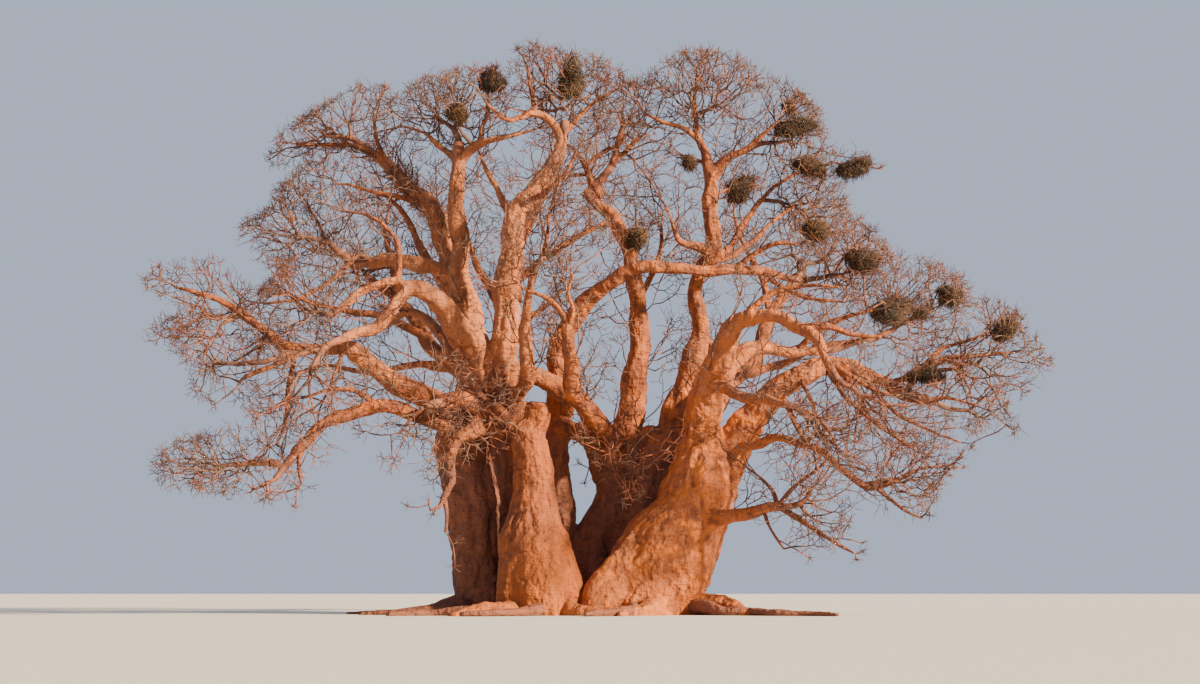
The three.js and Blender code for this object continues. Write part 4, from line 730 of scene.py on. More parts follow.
def bark_relief(points, routes):
    """How far each point stands out, how far from a crease it is, from 0 to 1, and its limb's radius."""
    radius, run, side, front = limb_places(points, routes)

    def on_limb(size, seed):
        across, along = size
        return np.abs(noise_at(np.column_stack((side / across, front / across, run / along)), seed))

    lumps = np.abs(noise_at(points / LUMP_SIZE, 1))
    flutes = on_limb(FLUTE_SIZE, 2)
    wrinkles = on_limb(WRINKLE_SIZE, 3)
    knobs = noise_at(points / KNOB_SIZE, 4)
    folds = on_limb(FOLD_SIZE, 5)
    burls = np.clip(noise_at(points / BURL_SIZE, 6) - BURL_FROM, 0, 1)
    lumpy = np.clip((radius - LUMPS_FROM) / LUMPS_OVER, 0, 1)
    strength = np.clip(radius / FULL_RELIEF, LEAST_RELIEF, 1)
    deep = (LUMP_DEPTH * lumpy * (lumps - USUAL) + FLUTE_DEPTH * (flutes - USUAL)
            + WRINKLE_DEPTH * (wrinkles - USUAL) + KNOB_DEPTH * knobs + FOLD_DEPTH * (folds - USUAL)
            + BURL_DEPTH * burls) * strength
    # How far from a crease each point is; the bark's finish darkens the creases by it with painted shade.
    crease_shade_mask = (2.0 * flutes + 1.0 * lumps + 0.7 * wrinkles + 0.5 * knobs + 0.6 * folds) / 2.5
    return deep, np.clip(0.18 + crease_shade_mask, 0, 1), radius


def smooth_by_thickness(piece, routes):
    """The piece, smoothed more where its limbs are thick."""
    points = positions(piece)
    radius = limb_places(points, routes)[0]
    weights = np.clip((radius - THIN) / (THICK - THIN), 0.04, 1)
    group = piece.vertex_groups.new(name="rounding")
    for level in range(1, SMOOTH_LEVELS + 1):
        chosen = np.nonzero(np.ceil(weights * SMOOTH_LEVELS) == level)[0].tolist()
        if chosen:
            group.add(chosen, level / SMOOTH_LEVELS, "REPLACE")
    smooth = piece.modifiers.new("rounding", "SMOOTH")
    smooth.factor = 0.5
    smooth.iterations = SMOOTH_ROUNDS
    smooth.vertex_group = "rounding"
    piece = applied(piece)
    piece.vertex_groups.clear()
    return piece


def positions(piece):
    """Where the mesh's points are, one row each."""
    flat = np.empty(len(piece.data.vertices) * 3)
    piece.data.vertices.foreach_get("co", flat)
    return flat.reshape(-1, 3)


def normals(piece):
    """The outward directions at the mesh's points, one row each."""
    flat = np.empty(len(piece.data.vertices) * 3, dtype=np.float32)
    piece.data.vertex_normals.foreach_get("vector", flat)
    return flat.reshape(-1, 3)


def cut_at_ground(piece):
    """Takes off what lies below the floor and closes the foot flat."""
    made = bmesh.new()
    made.from_mesh(piece.data)
    everything = made.verts[:] + made.edges[:] + made.faces[:]
    bmesh.ops.bisect_plane(made, geom=everything, dist=1e-5, plane_co=(0, 0, 0), plane_no=(0, 0, -1),
                           clear_outer=True)
    rim = [edge for edge in made.edges if edge.is_boundary]
    if rim:
        bmesh.ops.holes_fill(made, edges=rim, sides=0)
        feet = [face for face in made.faces if len(face.verts) > 4]
        bmesh.ops.triangulate(made, faces=feet)
    made.to_mesh(piece.data)
    made.free()


def write_value(piece, name, values):
    """Writes one number for each of the mesh's points, for the finish to read."""
    attribute = piece.data.attributes.new(name, "FLOAT", "POINT")
    attribute.data.foreach_set("value", np.asarray(values, dtype=np.float32))


# The share of the relief that shows on a family with smoother bark.
CALM = {"front_left": 0.62}


def dress_bark(name, stems, boughs, branches):
    """A family's skin with its relief."""
    routes = family_routes(stems, boughs, branches)
    piece = fused_skin("bark_" + name, routes, VOXEL[name])
    piece = smooth_by_thickness(piece, routes)
    points = positions(piece)
    deep, crease_shade_mask, radius = bark_relief(points, routes)
    points += normals(piece) * deep[:, None] * CALM.get(name, 1.0)
    piece.data.vertices.foreach_set("co", points.ravel())
    write_value(piece, "crease_shade_mask", crease_shade_mask)
    write_value(piece, "thick", radius)
    piece.data.update()
    cut_at_ground(piece)
    piece.data.shade_smooth()
    print(piece.name, sum(len(face.vertices) - 2 for face in piece.data.polygons), "triangles")
    return piece


bark = {name: dress_bark(name, *limbs) for name, limbs in FAMILIES.items()}

# %% [markdown]
# The thinner branches and the roots on the floor need no remesh: each is a swept tube of its own that
# starts inside the limb or stem that bears it. They are joined into one mesh, with the same attributes as
# the bark's skin, so that they can take the same finish.

# %% Thin branches
BRANCH_SIDES = 8
FUSED = {branch for _, _, branches in FAMILIES.values() for branch in branches}


def thin_branches():
    """One mesh of all the branches outside the families, and the roots."""
    joined = bmesh.new()
    crease_shade_mask, thick = [], []
    routes = {name: route for name, (route, _) in BRANCHES.items() if name not in FUSED}
    for name, route in {**routes, **ROOTS}.items():
        places = living_places(name, route, BRANCH_STEP)
        made = tube(places, BRANCH_SIDES)
        points = np.array([vert.co for vert in made.verts])
        deep, shade, radius = bark_relief(points, [(name, places)])
        made.normal_update()
        for vert, depth in zip(made.verts, deep):
            vert.co += vert.normal * float(depth)
        crease_shade_mask.append(shade)
        thick.append(radius)
        add_part(joined, made)
    piece = object_of(joined, "thin_branches")
    write_value(piece, "crease_shade_mask", np.concatenate(crease_shade_mask))
    write_value(piece, "thick", np.concatenate(thick))
    cut_at_ground(piece)
    piece.data.shade_smooth()
    print(piece.name, len(piece.data.polygons), "faces")
    return piece


branches = thin_branches()

# %% [markdown]
# Twigs follow the rule that the solids were grown by. A branch grows towards the middle of all the places
# where its twigs are to end. On the way it forks: the larger part of the ends stays with it, the smaller
# part gets a new branch, and so on, until every end has a twig of its own. The radius falls with the share
# of ends, as it does in real trees.

# %% The rule of growth
# A branch forks at this share of its reach, and its radius falls with this power of its share of ends.
FORK_AT = 0.4
FORK_POWER = 0.42
TWIG_LEAST = 0.014
TWIG_END = 0.007
# A branch that starts thinner than the first radius is a twig, and from the second on it is a thick one.
THIN_TWIG = 0.03
THICK_TWIG = 0.07
GOLDEN_ANGLE = 2.399963
SEED_STEP = 7919
# How far a fork stands aside, against the reach of its branch.
FORK_ASIDE = 0.22
# The smaller part of the ends is at least this share of them, and up to so much more.
PART_LEAST = 0.38
PART_MORE = 0.24


def seeded_numbers(seed):
    """Numbers between 0 and 1 in an order that the seed settles."""
    state = seed & 0xFFFFFFFF

    def draw():
        nonlocal state
        state = (state * 1664525 + 1013904223) & 0xFFFFFFFF
        return state / 4294967296
    return draw


def jitter(draw, low=0.5):
    """A small step in any direction. It tends upwards where low is less than a half."""
    return Vector((draw() - 0.5, draw() - 0.5, draw() - low))


def any_way_round(side, front, draw):
    """A direction square to a limb, at any angle round it."""
    turn = 2 * math.pi * draw()
    return side * math.cos(turn) + front * math.sin(turn)


def part_ends(ends, draw):
    """Parts the ends in two along the axis on which they spread most."""
    axis = max(range(3), key=lambda k: max(end[k] for end in ends) - min(end[k] for end in ends))
    ends = sorted(ends, key=lambda end: end[axis])
    cut = min(max(round(len(ends) * (PART_LEAST + PART_MORE * draw())), 1), len(ends) - 1)
    return sorted((ends[:cut], ends[cut:]), key=len, reverse=True)


def grow(branch, ends, draw, grown):
    """Adds to grown the branches, each a list of (place, radius), that reach every end."""
    place, radius = branch[-1]
    if len(ends) == 1:
        grown.append(branch + [(ends[0], TWIG_END)])
        return
    middle = sum(ends, Vector()) / len(ends)
    larger, smaller = part_ends(ends, draw)
    reach = middle - place
    aside = jitter(draw) * reach.length * FORK_ASIDE
    fork = place + reach * FORK_AT + aside
    left = max(radius * (len(larger) / len(ends)) ** FORK_POWER, TWIG_LEAST)
    taken = max(radius * (len(smaller) / len(ends)) ** FORK_POWER, TWIG_LEAST)
    grow(branch + [(fork, left)], larger, draw, grown)
    grow([(fork, taken * 0.95)], smaller, draw, grown)


# %% [markdown]
# A mass of the real crown is made of sprays: tufts of twigs with air between them. So the rule runs twice.
# First it grows branches to the middles of the sprays, which lie where the solids' twigs end and in between.
# Then it grows the twigs of each spray from its branch's end. The ends of a spray fan outwards and a little
# upwards, because twigs seek the light.

# %% The crown's edge
# Across and up of the line that the crown's twigs keep to, as the front view shows it.
CROWN_EDGE = [
    (-3.2, 5.6), (-4.6, 4.9), (-5.4, 3.0), (-4.4, 2.6), (-3.4, 3.4), (-2.9, 5.0), (-7.0, 4.4),
    (-9.9, 4.3), (-10.9, 3.6), (-12.2, 4.2), (-14.2, 4.3), (-15.8, 4.6), (-15.7, 5.4), (-14.7, 6.3),
    (-13.0, 6.5), (-12.0, 7.0), (-12.9, 7.3), (-14.6, 7.5), (-14.2, 8.4), (-15.0, 9.3), (-16.1, 9.6),
    (-15.9, 10.2), (-14.7, 10.9), (-16.1, 11.8), (-15.6, 12.4), (-14.4, 12.7), (-13.0, 12.7), (-12.4, 11.7),
    (-11.9, 11.5), (-11.2, 12.2), (-13.0, 13.0), (-12.6, 14.1), (-11.6, 14.5), (-11.5, 15.3), (-10.7, 15.8),
    (-11.7, 16.2), (-11.5, 17.1), (-10.4, 18.0), (-9.0, 18.9), (-8.0, 19.2), (-6.9, 18.9), (-6.1, 19.5),
    (-4.2, 19.8), (-3.0, 19.7), (-2.5, 20.75), (-1.2, 20.5), (0.1, 20.2), (0.8, 20.2), (1.3, 19.2),
    (2.1, 19.4), (2.5, 20.1), (4.0, 20.5), (5.3, 20.3), (6.4, 19.7), (7.4, 19.1), (8.4, 18.2),
    (8.6, 17.2), (9.5, 16.8), (10.6, 16.1), (9.4, 15.3), (9.5, 14.5), (10.3, 13.9), (11.0, 13.0),
    (12.2, 12.9), (13.5, 12.1), (13.9, 11.2), (14.8, 11.1), (15.6, 10.6), (16.0, 9.9), (16.6, 9.0),
    (16.2, 7.8), (14.7, 7.7), (15.5, 6.5), (13.7, 6.0), (13.0, 5.3), (12.6, 4.6), (11.9, 3.3),
    (10.7, 3.4), (9.5, 3.9), (9.0, 2.4), (8.0, 2.1), (6.2, 2.2), (5.2, 3.6), (5.4, 5.2),
    (4.4, 6.2), (2.4, 4.4), (1.2, 4.0), (0.3, 5.2), (-1.0, 7.0), (-2.2, 6.6),
]
# The box of the solids and the bark.
LEAST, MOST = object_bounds()

# %% Sprays of a mass
# How many sprays grow for each twig of the solid, and how many twigs a spray has.
SPRAYS_PER_TWIG = 3.7
ENDS_PER_SPRAY = 15
# A spray's usual length, half its opening angle, its rise towards the light, and how far its ends may stand
# past the crown's edge.
SPRAY_REACH = 1.65
FAN = math.radians(44)
LIFT = 0.14
RAGGED = 0.3
# How far a twig may stand past the box.
SLACK = 0.2
# How far two masses reach into each other, as a difference of squared distances.
OVERLAP = 0.7
# How much a spray turns upwards as a whole, and the radius that its branch keeps at its end.
SPRAY_LIFT = 0.25
END_SHARE = 0.62
# How often and how far a place outside the crown is drawn in towards its root.
PULLS = 9
PULL = 0.16
LOOKS_AHEAD = 8
# How many finishes the twigs share out between them.
KINDS = 3


def shell_places(mass, count, draw):
    """Places spread through a mass by the golden angle, every third one deep inside."""
    middle, half = seen(mass["middle"]), mass["half"]
    places = []
    for i in range(count):
        up = 1 - 2 * (i + 0.5) / count
        turn = i * GOLDEN_ANGLE + 0.9 * draw()
        out = math.sqrt(1 - up * up)
        share = 0.15 + 0.3 * draw() if i % 3 == 0 else 0.42 + 0.3 * draw()
        places.append(middle + Vector((half[0] * share * out * math.cos(turn),
                                       half[2] * share * out * math.sin(turn), half[1] * share * up)))
    return places


def own_side(name, place):
    """Whether a place lies on this mass's side of every other mass, give or take a little."""
    own = MASSES[name]
    reach = sum(own["half"]) / 3
    depth = (place - seen(own["middle"])).length_squared - reach ** 2
    for other, mass in MASSES.items():
        away = (place - seen(mass["middle"])).length_squared - (sum(mass["half"]) / 3) ** 2
        if other != name and depth > away + OVERLAP:
            return False
    return True


def as_seen(place):
    """Across and up of a place, on the upright plane through the trunk."""
    spread = spread_at(place.y)
    return place.x / spread, EYE_HEIGHT + (place.z - EYE_HEIGHT) / spread


def inside_edge(place):
    """Whether the place is inside the crown's edge as seen from the front."""
    across, up = as_seen(place)
    inside = False
    for (x0, z0), (x1, z1) in zip(CROWN_EDGE, CROWN_EDGE[1:] + CROWN_EDGE[:1]):
        if (z0 > up) != (z1 > up) and across < (x1 - x0) * (up - z0) / (z1 - z0) + x0:
            inside = not inside
    return inside


def in_box(place):
    """Whether the place is inside the box, give or take a little."""
    return all(low - SLACK < at < high + SLACK for low, at, high in zip(LEAST, place, MOST))


def drawn_in(place, root, limits, room=0.0):
    """The place, moved towards the root until it is room inside the crown's edge and the mass's limits."""
    middle, half = limits
    outward = (place - root).normalized() * room
    for _ in range(PULLS):
        rim = place + outward
        if inside_edge(rim) and abs(rim.y - middle.y) < half[2] and in_box(rim):
            return place
        place = place.lerp(root, PULL)
    return place


def room_ahead(root, ahead, limits, most):
    """How far a spray can reach ahead before it leaves the crown or its mass."""
    middle, half = limits
    for step in range(1, LOOKS_AHEAD + 1):
        rim = root + ahead * most * step / LOOKS_AHEAD
        if not inside_edge(rim) or abs(rim.y - middle.y) > half[2] or not in_box(rim):
            return most * (step - 0.5) / LOOKS_AHEAD
    return most


def spray_ends(root, ahead, count, reach, draw, limits):
    """Ends of one spray: a fan that opens ahead of its root and curls up towards the light."""
    side = ahead.cross(cross_axis(ahead)).normalized()
    front = side.cross(ahead)
    ends = []
    for i in range(count):
        lean = math.acos(1 - (1 - math.cos(FAN)) * (i + 0.5) / count)
        turn = i * GOLDEN_ANGLE + draw()
        away = ahead * math.cos(lean) + (side * math.cos(turn) + front * math.sin(turn)) * math.sin(lean)
        goal = root + (away + Vector((0, 0, LIFT))) * reach * (0.45 + 0.55 * math.sqrt(draw()))
        end = drawn_in(goal, root, limits, -RAGGED * draw())
        if (goal - end).length < 0.3 or draw() < 0.45 or i < 2:
            ends.append(end)
    return ends


# The limbs of each region, each with the number of its finish.
grown = {}


def add_sprays(group, trunk, places, reach, count, draw, limits):
    """Grows branches to the places and a spray of twigs at the end of each."""
    limbs = []
    grow([trunk], places, draw, limbs)
    kept = grown.setdefault(group, [])
    for limb in limbs:
        kind = min(int(draw() * KINDS), KINDS - 1)
        last = limb[-1][0]
        limb[-1] = (last, max(limb[-2][1] * END_SHARE, 2 * TWIG_LEAST))
        kept.append((kind, limb))
        twigs = []
        size = reach * (0.7 + 0.6 * draw())
        onward = (last - limb[-2][0]).normalized() * 0.8 + (last - trunk[0]).normalized()
        onward += Vector((0, 0, SPRAY_LIFT))
        onward.normalize()
        size = min(size, room_ahead(last, onward, limits, size) + 0.15)
        grow([limb[-1]], spray_ends(last, onward, count, size, draw, limits), draw, twigs)
        kept += [(kind, twig) for twig in twigs]


# A mass's stem starts inside its bough, forks first a little ahead of the tip and narrows at every place.
STEM_INSIDE = 0.4
STEM_AHEAD = 0.35
STEM_TAPER = 0.92


def mass_stem(mass):
    """The places of a mass's stem, which runs on from its bough's tip."""
    bough = smooth_route(BOUGHS[mass["on"]], RING_STEP)
    tip, radius = bough[-1]
    along = (tip - bough[-2][0]).normalized()
    ahead = tip + along * max(3 * radius, STEM_AHEAD)
    inside = tip - along * STEM_INSIDE
    stem = [inside, tip, ahead] + [seen(place) for place in mass.get("stem", [])]
    return [(place, radius * (1.0 if i < 2 else STEM_TAPER ** (i - 1))) for i, place in enumerate(stem)]


# The masses whose twigs become one mesh.
REGIONS = {
    "far_left": ("far_left", "drop_left", "low_left", "inner_left"),
    "left": ("shoulder_left", "crest_left", "thicket_left"),
    "top": ("top_left", "top_centre", "inner_centre", "top_middle", "top_right"),
    "right": ("shoulder_right", "slant_right", "crossing_right", "behind_right"),
    "far_right": ("far_right", "arch_right", "shelf_right", "low_right", "lowest_right"),
    "back": ("back_left", "back_centre", "back_right"),
}
# Masses with wider gaps between their twigs than the others, with their share of sprays.
OPEN = {"low_right": 0.45, "lowest_right": 0.5, "drop_left": 0.6, "inner_centre": 0.9, "shelf_right": 0.6,
        "arch_right": 0.6, "inner_left": 0.8, "thicket_left": 0.7, "top_middle": 0.5, "back_centre": 0.6,
        "back_right": 0.6, "crossing_right": 0.75, "crest_left": 0.8, "top_centre": 0.8, "slant_right": 0.85,
        "far_right": 0.85, "behind_right": 0.8, "shoulder_right": 0.85}
# The largest radius that a mass's branches may start with. One mass has only thin ones.
THICKEST = 0.15
THICKEST_OF = {"thicket_left": 0.06}
# How far inside the crown's edge the sprays start, and the share by which they keep back from the tips.
ROOM = 0.9
TIP_PULL = 0.12
REGION_OF = {mass: region for region, names in REGIONS.items() for mass in names}

# Every spray of a mass grows from the fork of its stem that is nearest.
for number, (name, mass) in enumerate(MASSES.items()):
    draw = seeded_numbers(SEED_STEP * (number + 1))
    stem = mass_stem(mass)
    grown.setdefault(REGION_OF[name], []).append((0, stem))
    count = round(mass["twigs"] * SPRAYS_PER_TWIG * OPEN.get(name, 1.0))
    heart = seen(mass["middle"])
    places = [place for place in shell_places(mass, count, draw) if own_side(name, place)]
    places += [seen(tip).lerp(heart, TIP_PULL) for tip in mass.get("tips", [])]
    places = [drawn_in(place, heart, (heart, mass["half"]), ROOM) for place in places]
    forks = stem[2:]
    owned = [[] for _ in forks]
    for place in places:
        nearest = min(range(len(forks)), key=lambda k: (forks[k][0] - place).length)
        owned[nearest].append(place)
    for (fork, radius), own in zip(forks, owned):
        if own:
            trunk = (fork, min(radius, THICKEST_OF.get(name, THICKEST)))
            add_sprays(REGION_OF[name], trunk, own, SPRAY_REACH, ENDS_PER_SPRAY, draw, (heart, mass["half"]))
print("masses grown:", {region: len(rows) for region, rows in grown.items()})

# %% [markdown]
# The boughs and branches carry twigs on their way too. Each one gets small sprays here and there, more of
# them where the picture shows a limb that is covered in shoots, and a branch's end carries a few larger
# sprays. One leaning bough wears a whole coat of short shoots.

# %% Shoots along the limbs
# The usual distance from one small spray to the next, and the length of a small spray.
SHOOT_GAP = 1.05
SHOOT_REACH = 1.05
SHOOT_ENDS = 10
SHOOT_SEED = 97
# The length of the sprays that a branch ends in, how far ahead of its tip they start, and how far apart.
END_REACH = 1.1
END_AHEAD = 0.7
END_SPREAD = 1.5
# Limits that leave all the depth free.
EVERYWHERE = (Vector((0, 0, 0)), (99, 99, 99))
# The limbs that have more shoots than the others, with the distance between their sprays.
HAIRY = {"leaning_left": 0.13, "stub_front": 0.35, "stub_front_curl": 0.3, "broken_left": 0.6,
         "lowest_left": 0.5, "reach_left": 0.6, "shelf_right": 0.6, "arch_right_drop": 0.6,
         "winding_right": 0.6, "upper_left": 0.7, "slim_centre": 0.36, "hanging_broken": 0.9,
         "rising_front": 0.28, "curved_right": 0.45, "knob": 0.2, "middle_side": 0.3, "middle": 0.34,
         "diagonal": 0.4, "inner_right": 0.42, "tall_right": 0.4, "back_centre_deep": 0.7}
# No limb has shoots on this first share of its length, and some branches have none at all.
BARE_START = 0.22
BARE = {"ridge", "seam", "log", "stub_front_knob"}
# The limb with the coat, which starts at this share of its length.
FURRY = ["leaning_left"]
FUR_FROM = 0.42
FUR_PER_RING = 11
FUR_STEP = 0.12
# At least the first number, and up to the second more.
FUR_LENGTH = (0.16, 0.3)
FUR_RADII = (0.012, 0.006)
# The number of the finish of the coat of shoots, whose pale colour is painted sunlight.
FUR_KIND = 3


def region_near(place):
    """The region of the nearest mass."""
    name = min(MASSES, key=lambda mass: (seen(MASSES[mass]["middle"]) - place).length)
    return REGION_OF[name]


def shoots_along(name, places, draw):
    """Small sprays on a limb's way, in all directions."""
    frames = ring_frames(places)
    gap = HAIRY.get(name, SHOOT_GAP)
    run, due = 0.0, gap * draw()
    bare = BARE_START * len(frames)
    for i in range(1, len(frames)):
        point, radius, along, side, front = frames[i]
        run += (point - frames[i - 1][0]).length
        if run < due or i < bare:
            continue
        due = run + gap * (0.6 + 0.8 * draw())
        away = any_way_round(side, front, draw)
        if away.z < -0.3 and draw() < 0.6:
            away.z = -away.z
        size = SHOOT_REACH * (0.6 + 0.8 * draw())
        root = point + away * radius * 0.8
        goal = point + away * (radius + 0.4 * size) + along * size * 0.2
        add_sprays(region_near(point), (root, THIN_TWIG), [goal, goal + along * size * 0.6],
                   size, SHOOT_ENDS, draw, EVERYWHERE)


def fur_along(name, draw):
    """A coat of short shoots, close together, around a limb."""
    frames = ring_frames(living_places(name, BOUGHS[name], FUR_STEP))
    kept = grown[region_near(frames[-1][0])]
    for point, radius, along, side, front in frames[round(FUR_FROM * len(frames)):]:
        for _ in range(FUR_PER_RING):
            away = any_way_round(side, front, draw)
            root = point + away * radius * 0.9 + along * FUR_STEP * draw()
            ahead = away + along * (1.1 * draw() - 0.3) + Vector((0, 0, 0.3))
            end = root + ahead * (FUR_LENGTH[0] + FUR_LENGTH[1] * draw())
            kept.append((FUR_KIND, [(root, FUR_RADII[0]), (end, FUR_RADII[1])]))


def sprays_at_end(places, sprays, draw):
    """Larger sprays that fan out of a branch's end."""
    tip, radius = places[-1]
    along = (tip - places[-3][0]).normalized()
    fan = [tip + along * END_AHEAD + jitter(draw, 0.4) * END_SPREAD for _ in range(sprays)]
    fan = [drawn_in(place, tip, EVERYWHERE) for place in fan]
    trunk = (tip, min(radius * 0.9, 2 * THIN_TWIG))
    add_sprays(region_near(tip), trunk, fan, END_REACH, ENDS_PER_SPRAY, draw, EVERYWHERE)


draw = seeded_numbers(SHOOT_SEED)
for name in FURRY:
    fur_along(name, draw)
for name, route in BOUGHS.items():
    shoots_along(name, living_places(name, route, SHOOT_STEP), draw)
for name, (route, sprays) in BRANCHES.items():
    if name not in BARE:
        places = living_places(name, route, BRANCH_STEP)
        shoots_along(name, places, draw)
        if sprays:
            sprays_at_end(places, sprays, draw)
print("with shoots:", {region: len(rows) for region, rows in grown.items()})

# %% [markdown]
# Weaver birds pile sticks into the outer twigs. The table gives each nest's middle, half width and half
# height. A branch from the nearest limb bears it, and a few twigs stand out of it.

# %% Nests
NESTS = {
    "tall": [-0.65, 19.4, -0.7, 0.5, 0.86], "crown_left": [-3.6, 19.3, 0.6, 0.5, 0.42],
    "small_left": [-4.86, 18.1, -0.2, 0.38, 0.32], "upper_right": [7.38, 17.6, 1.2, 0.72, 0.36],
    "top_small": [7.25, 18.35, 1.2, 0.24, 0.2], "outer_right": [9.6, 16.1, 2.0, 0.66, 0.36],
    "middle_right": [8.05, 16.1, 2.4, 0.56, 0.36], "low_right": [5.44, 15.3, 1.2, 0.52, 0.48],
    "slant": [8.2, 13.8, 3.4, 0.48, 0.4], "crossing": [9.8, 12.7, 0.8, 0.6, 0.38],
    "large_right": [10.8, 10.84, 3.4, 0.8, 0.56], "high_right": [13.0, 11.4, 3.8, 0.44, 0.36],
    "far_right": [15.0, 10.2, -2.4, 0.42, 0.36], "beside_large": [11.95, 10.75, 3.6, 0.3, 0.2],
    "tangle_middle": [1.66, 13.46, 1.0, 0.42, 0.4], "tangle_right": [12.06, 8.5, -2.4, 0.62, 0.26],
    "beside_fork": [3.6, 16.3, 0.8, 0.24, 0.24],
}
BEARER_SEED = 53
BEARER_RADIUS = 0.09
TWIGS_THROUGH = 3
THROUGH_REACH = 0.7
THROUGH_ENDS = 12
# How much larger than in the table a nest is built, since its lumps' outlines are loose.
FULLNESS = 1.15


def nest_bearers():
    """A branch from the nearest limb to each nest, and twigs that stand out of it."""
    draw = seeded_numbers(BEARER_SEED)
    limbs = [place for name, route in BOUGHS.items() for place in living_places(name, route, SHOOT_STEP)]
    for name, (route, _) in BRANCHES.items():
        limbs += living_places(name, route, SHOOT_STEP)
    for nest in NESTS.values():
        middle = seen(nest)
        start, radius = min(limbs, key=lambda place: (place[0] - middle).length - 4 * place[1])
        ahead = (middle - start).normalized()
        ends = []
        for _ in range(TWIGS_THROUGH):
            onward = ahead * nest[3] * (0.6 + 0.9 * draw())
            aside = jitter(draw, 0.3) * 1.8 * nest[3]
            ends.append(drawn_in(middle + onward + aside, middle, EVERYWHERE))
        bearer = (start, min(radius * 0.7, BEARER_RADIUS))
        add_sprays(region_near(middle), bearer, [middle] + ends,
                   THROUGH_REACH, THROUGH_ENDS, draw, EVERYWHERE)


def veils_nest(limb):
    """Whether a thin limb hides a nest from the front."""
    place, radius = limb[-1]
    across, up = as_seen(place)
    return radius < THIN_TWIG and any(
        place.y < nest[2] and math.hypot((across - nest[0]) / nest[3], (up - nest[1]) / nest[4]) < FULLNESS
        for nest in NESTS.values())


nest_bearers()
for region, limbs in grown.items():
    grown[region] = [(kind, limb) for kind, limb in limbs if not veils_nest(limb)]
print("with bearers:", {region: len(rows) for region, rows in grown.items()})

# %% [markdown]
# Tens of thousands of twigs are too many to model one by one, so each region of the crown becomes one mesh
# that is written from arrays. A twig is a three-sided tube, bent a little at extra places on the way, and
# thick branches get more sides. Short spurs stand off the thin ones, as many as the piece has room for.

# %% Twigs as arrays
BEND = 0.06
SPUR_LENGTH = (0.1, 0.34)
SPUR_RADII = (0.011, 0.007)
# The most triangles that a piece may have, and those of one spur.
TWIG_LIMIT = 196000
SPUR_TRIANGLES = 8


def bent(twig, draw):
    """The twig with a place more, moved a little aside, on each of its long stretches."""
    places = [twig[0]]
    for (start, radius), (end, thinner) in zip(twig, twig[1:]):
        length = (end - start).length
        if length > 0.5:
            aside = jitter(draw) * 2 * BEND * length
            places.append(((start + end) / 2 + aside, (radius + thinner) / 2))
        places.append((end, thinner))
    return places


def spur_of(twig, draw):
    """A short shoot off the last stretch of a twig."""
    (start, radius), (end, thinner) = twig[-2:]
    along = (end - start).normalized()
    side = along.cross(cross_axis(along)).normalized()
    front = side.cross(along)
    away = any_way_round(side, front, draw) * 0.8 + along * 0.7 + Vector((0, 0, 0.25))
    share = 0.15 + 0.8 * draw()
    root = start.lerp(end, share)
    length = SPUR_LENGTH[0] + (SPUR_LENGTH[1] - SPUR_LENGTH[0]) * draw()
    thick = max((radius + (thinner - radius) * share) * 0.8, SPUR_RADII[0])
    return [(root, thick), (root + away.normalized() * length, SPUR_RADII[1])]


def unit(rows):
    """The rows, each with the length of one."""
    return rows / (np.linalg.norm(rows, axis=1, keepdims=True) + 1e-12)


def ring_corners(at, radius, start, end, sides):
    """The corners of a ring round every place. Each place's tube runs from number start to number end."""
    number = np.arange(len(at))
    along = unit(at[np.minimum(number + 1, end)] - at[np.maximum(number - 1, start)])
    reference = np.eye(3)[np.abs(at[end] - at[start]).argmin(1)]
    side = unit(np.cross(along, reference))
    front = np.cross(side, along)
    angle = 2 * np.pi * np.arange(sides) / sides
    ring = side[:, None] * np.cos(angle)[None, :, None] + front[:, None] * np.sin(angle)[None, :, None]
    return (at[:, None] + ring * radius[:, None, None]).reshape(-1, 3)


def tubes_from_arrays(name, rows, sides_of):
    """One mesh of all the tubes. Rows are (kind, places); the kind becomes the material's number."""
    points, quads, quad_kinds, triangles, triangle_kinds, count = [], [], [], [], [], 0
    for sides in sorted({sides_of(places) for _, places in rows}):
        chosen = [(kind, places) for kind, places in rows if sides_of(places) == sides]
        at = np.array([place for _, places in chosen for place, _ in places])
        radius = np.array([thick for _, places in chosen for _, thick in places])
        sizes = np.array([len(places) for _, places in chosen])
        first = np.cumsum(sizes) - sizes
        last = first + sizes - 1
        end = np.repeat(last, sizes)
        points.append(ring_corners(at, radius, np.repeat(first, sizes), end, sides))
        number = np.arange(len(at))
        here = number[number < end]
        corner = np.arange(sides)
        following = (corner + 1) % sides
        low = count + here[:, None] * sides
        high = low + sides
        quads.append(np.stack((low + corner, high + corner, high + following, low + following), -1))
        kind = np.array([kind for kind, _ in chosen])
        quad_kinds.append(np.repeat(np.repeat(kind, sizes)[here], sides))
        root, tip = count + first * sides, count + last * sides
        for k in range(1, sides - 1):
            triangles.append(np.stack((root, root + k, root + k + 1), -1))
            triangles.append(np.stack((tip, tip + k + 1, tip + k), -1))
            triangle_kinds += [kind, kind]
        count += len(at) * sides
    quads = np.concatenate([block.reshape(-1, 4) for block in quads])
    return mesh_from_arrays(name, np.concatenate(points), quads, np.concatenate(triangles),
                            np.concatenate(quad_kinds + triangle_kinds))


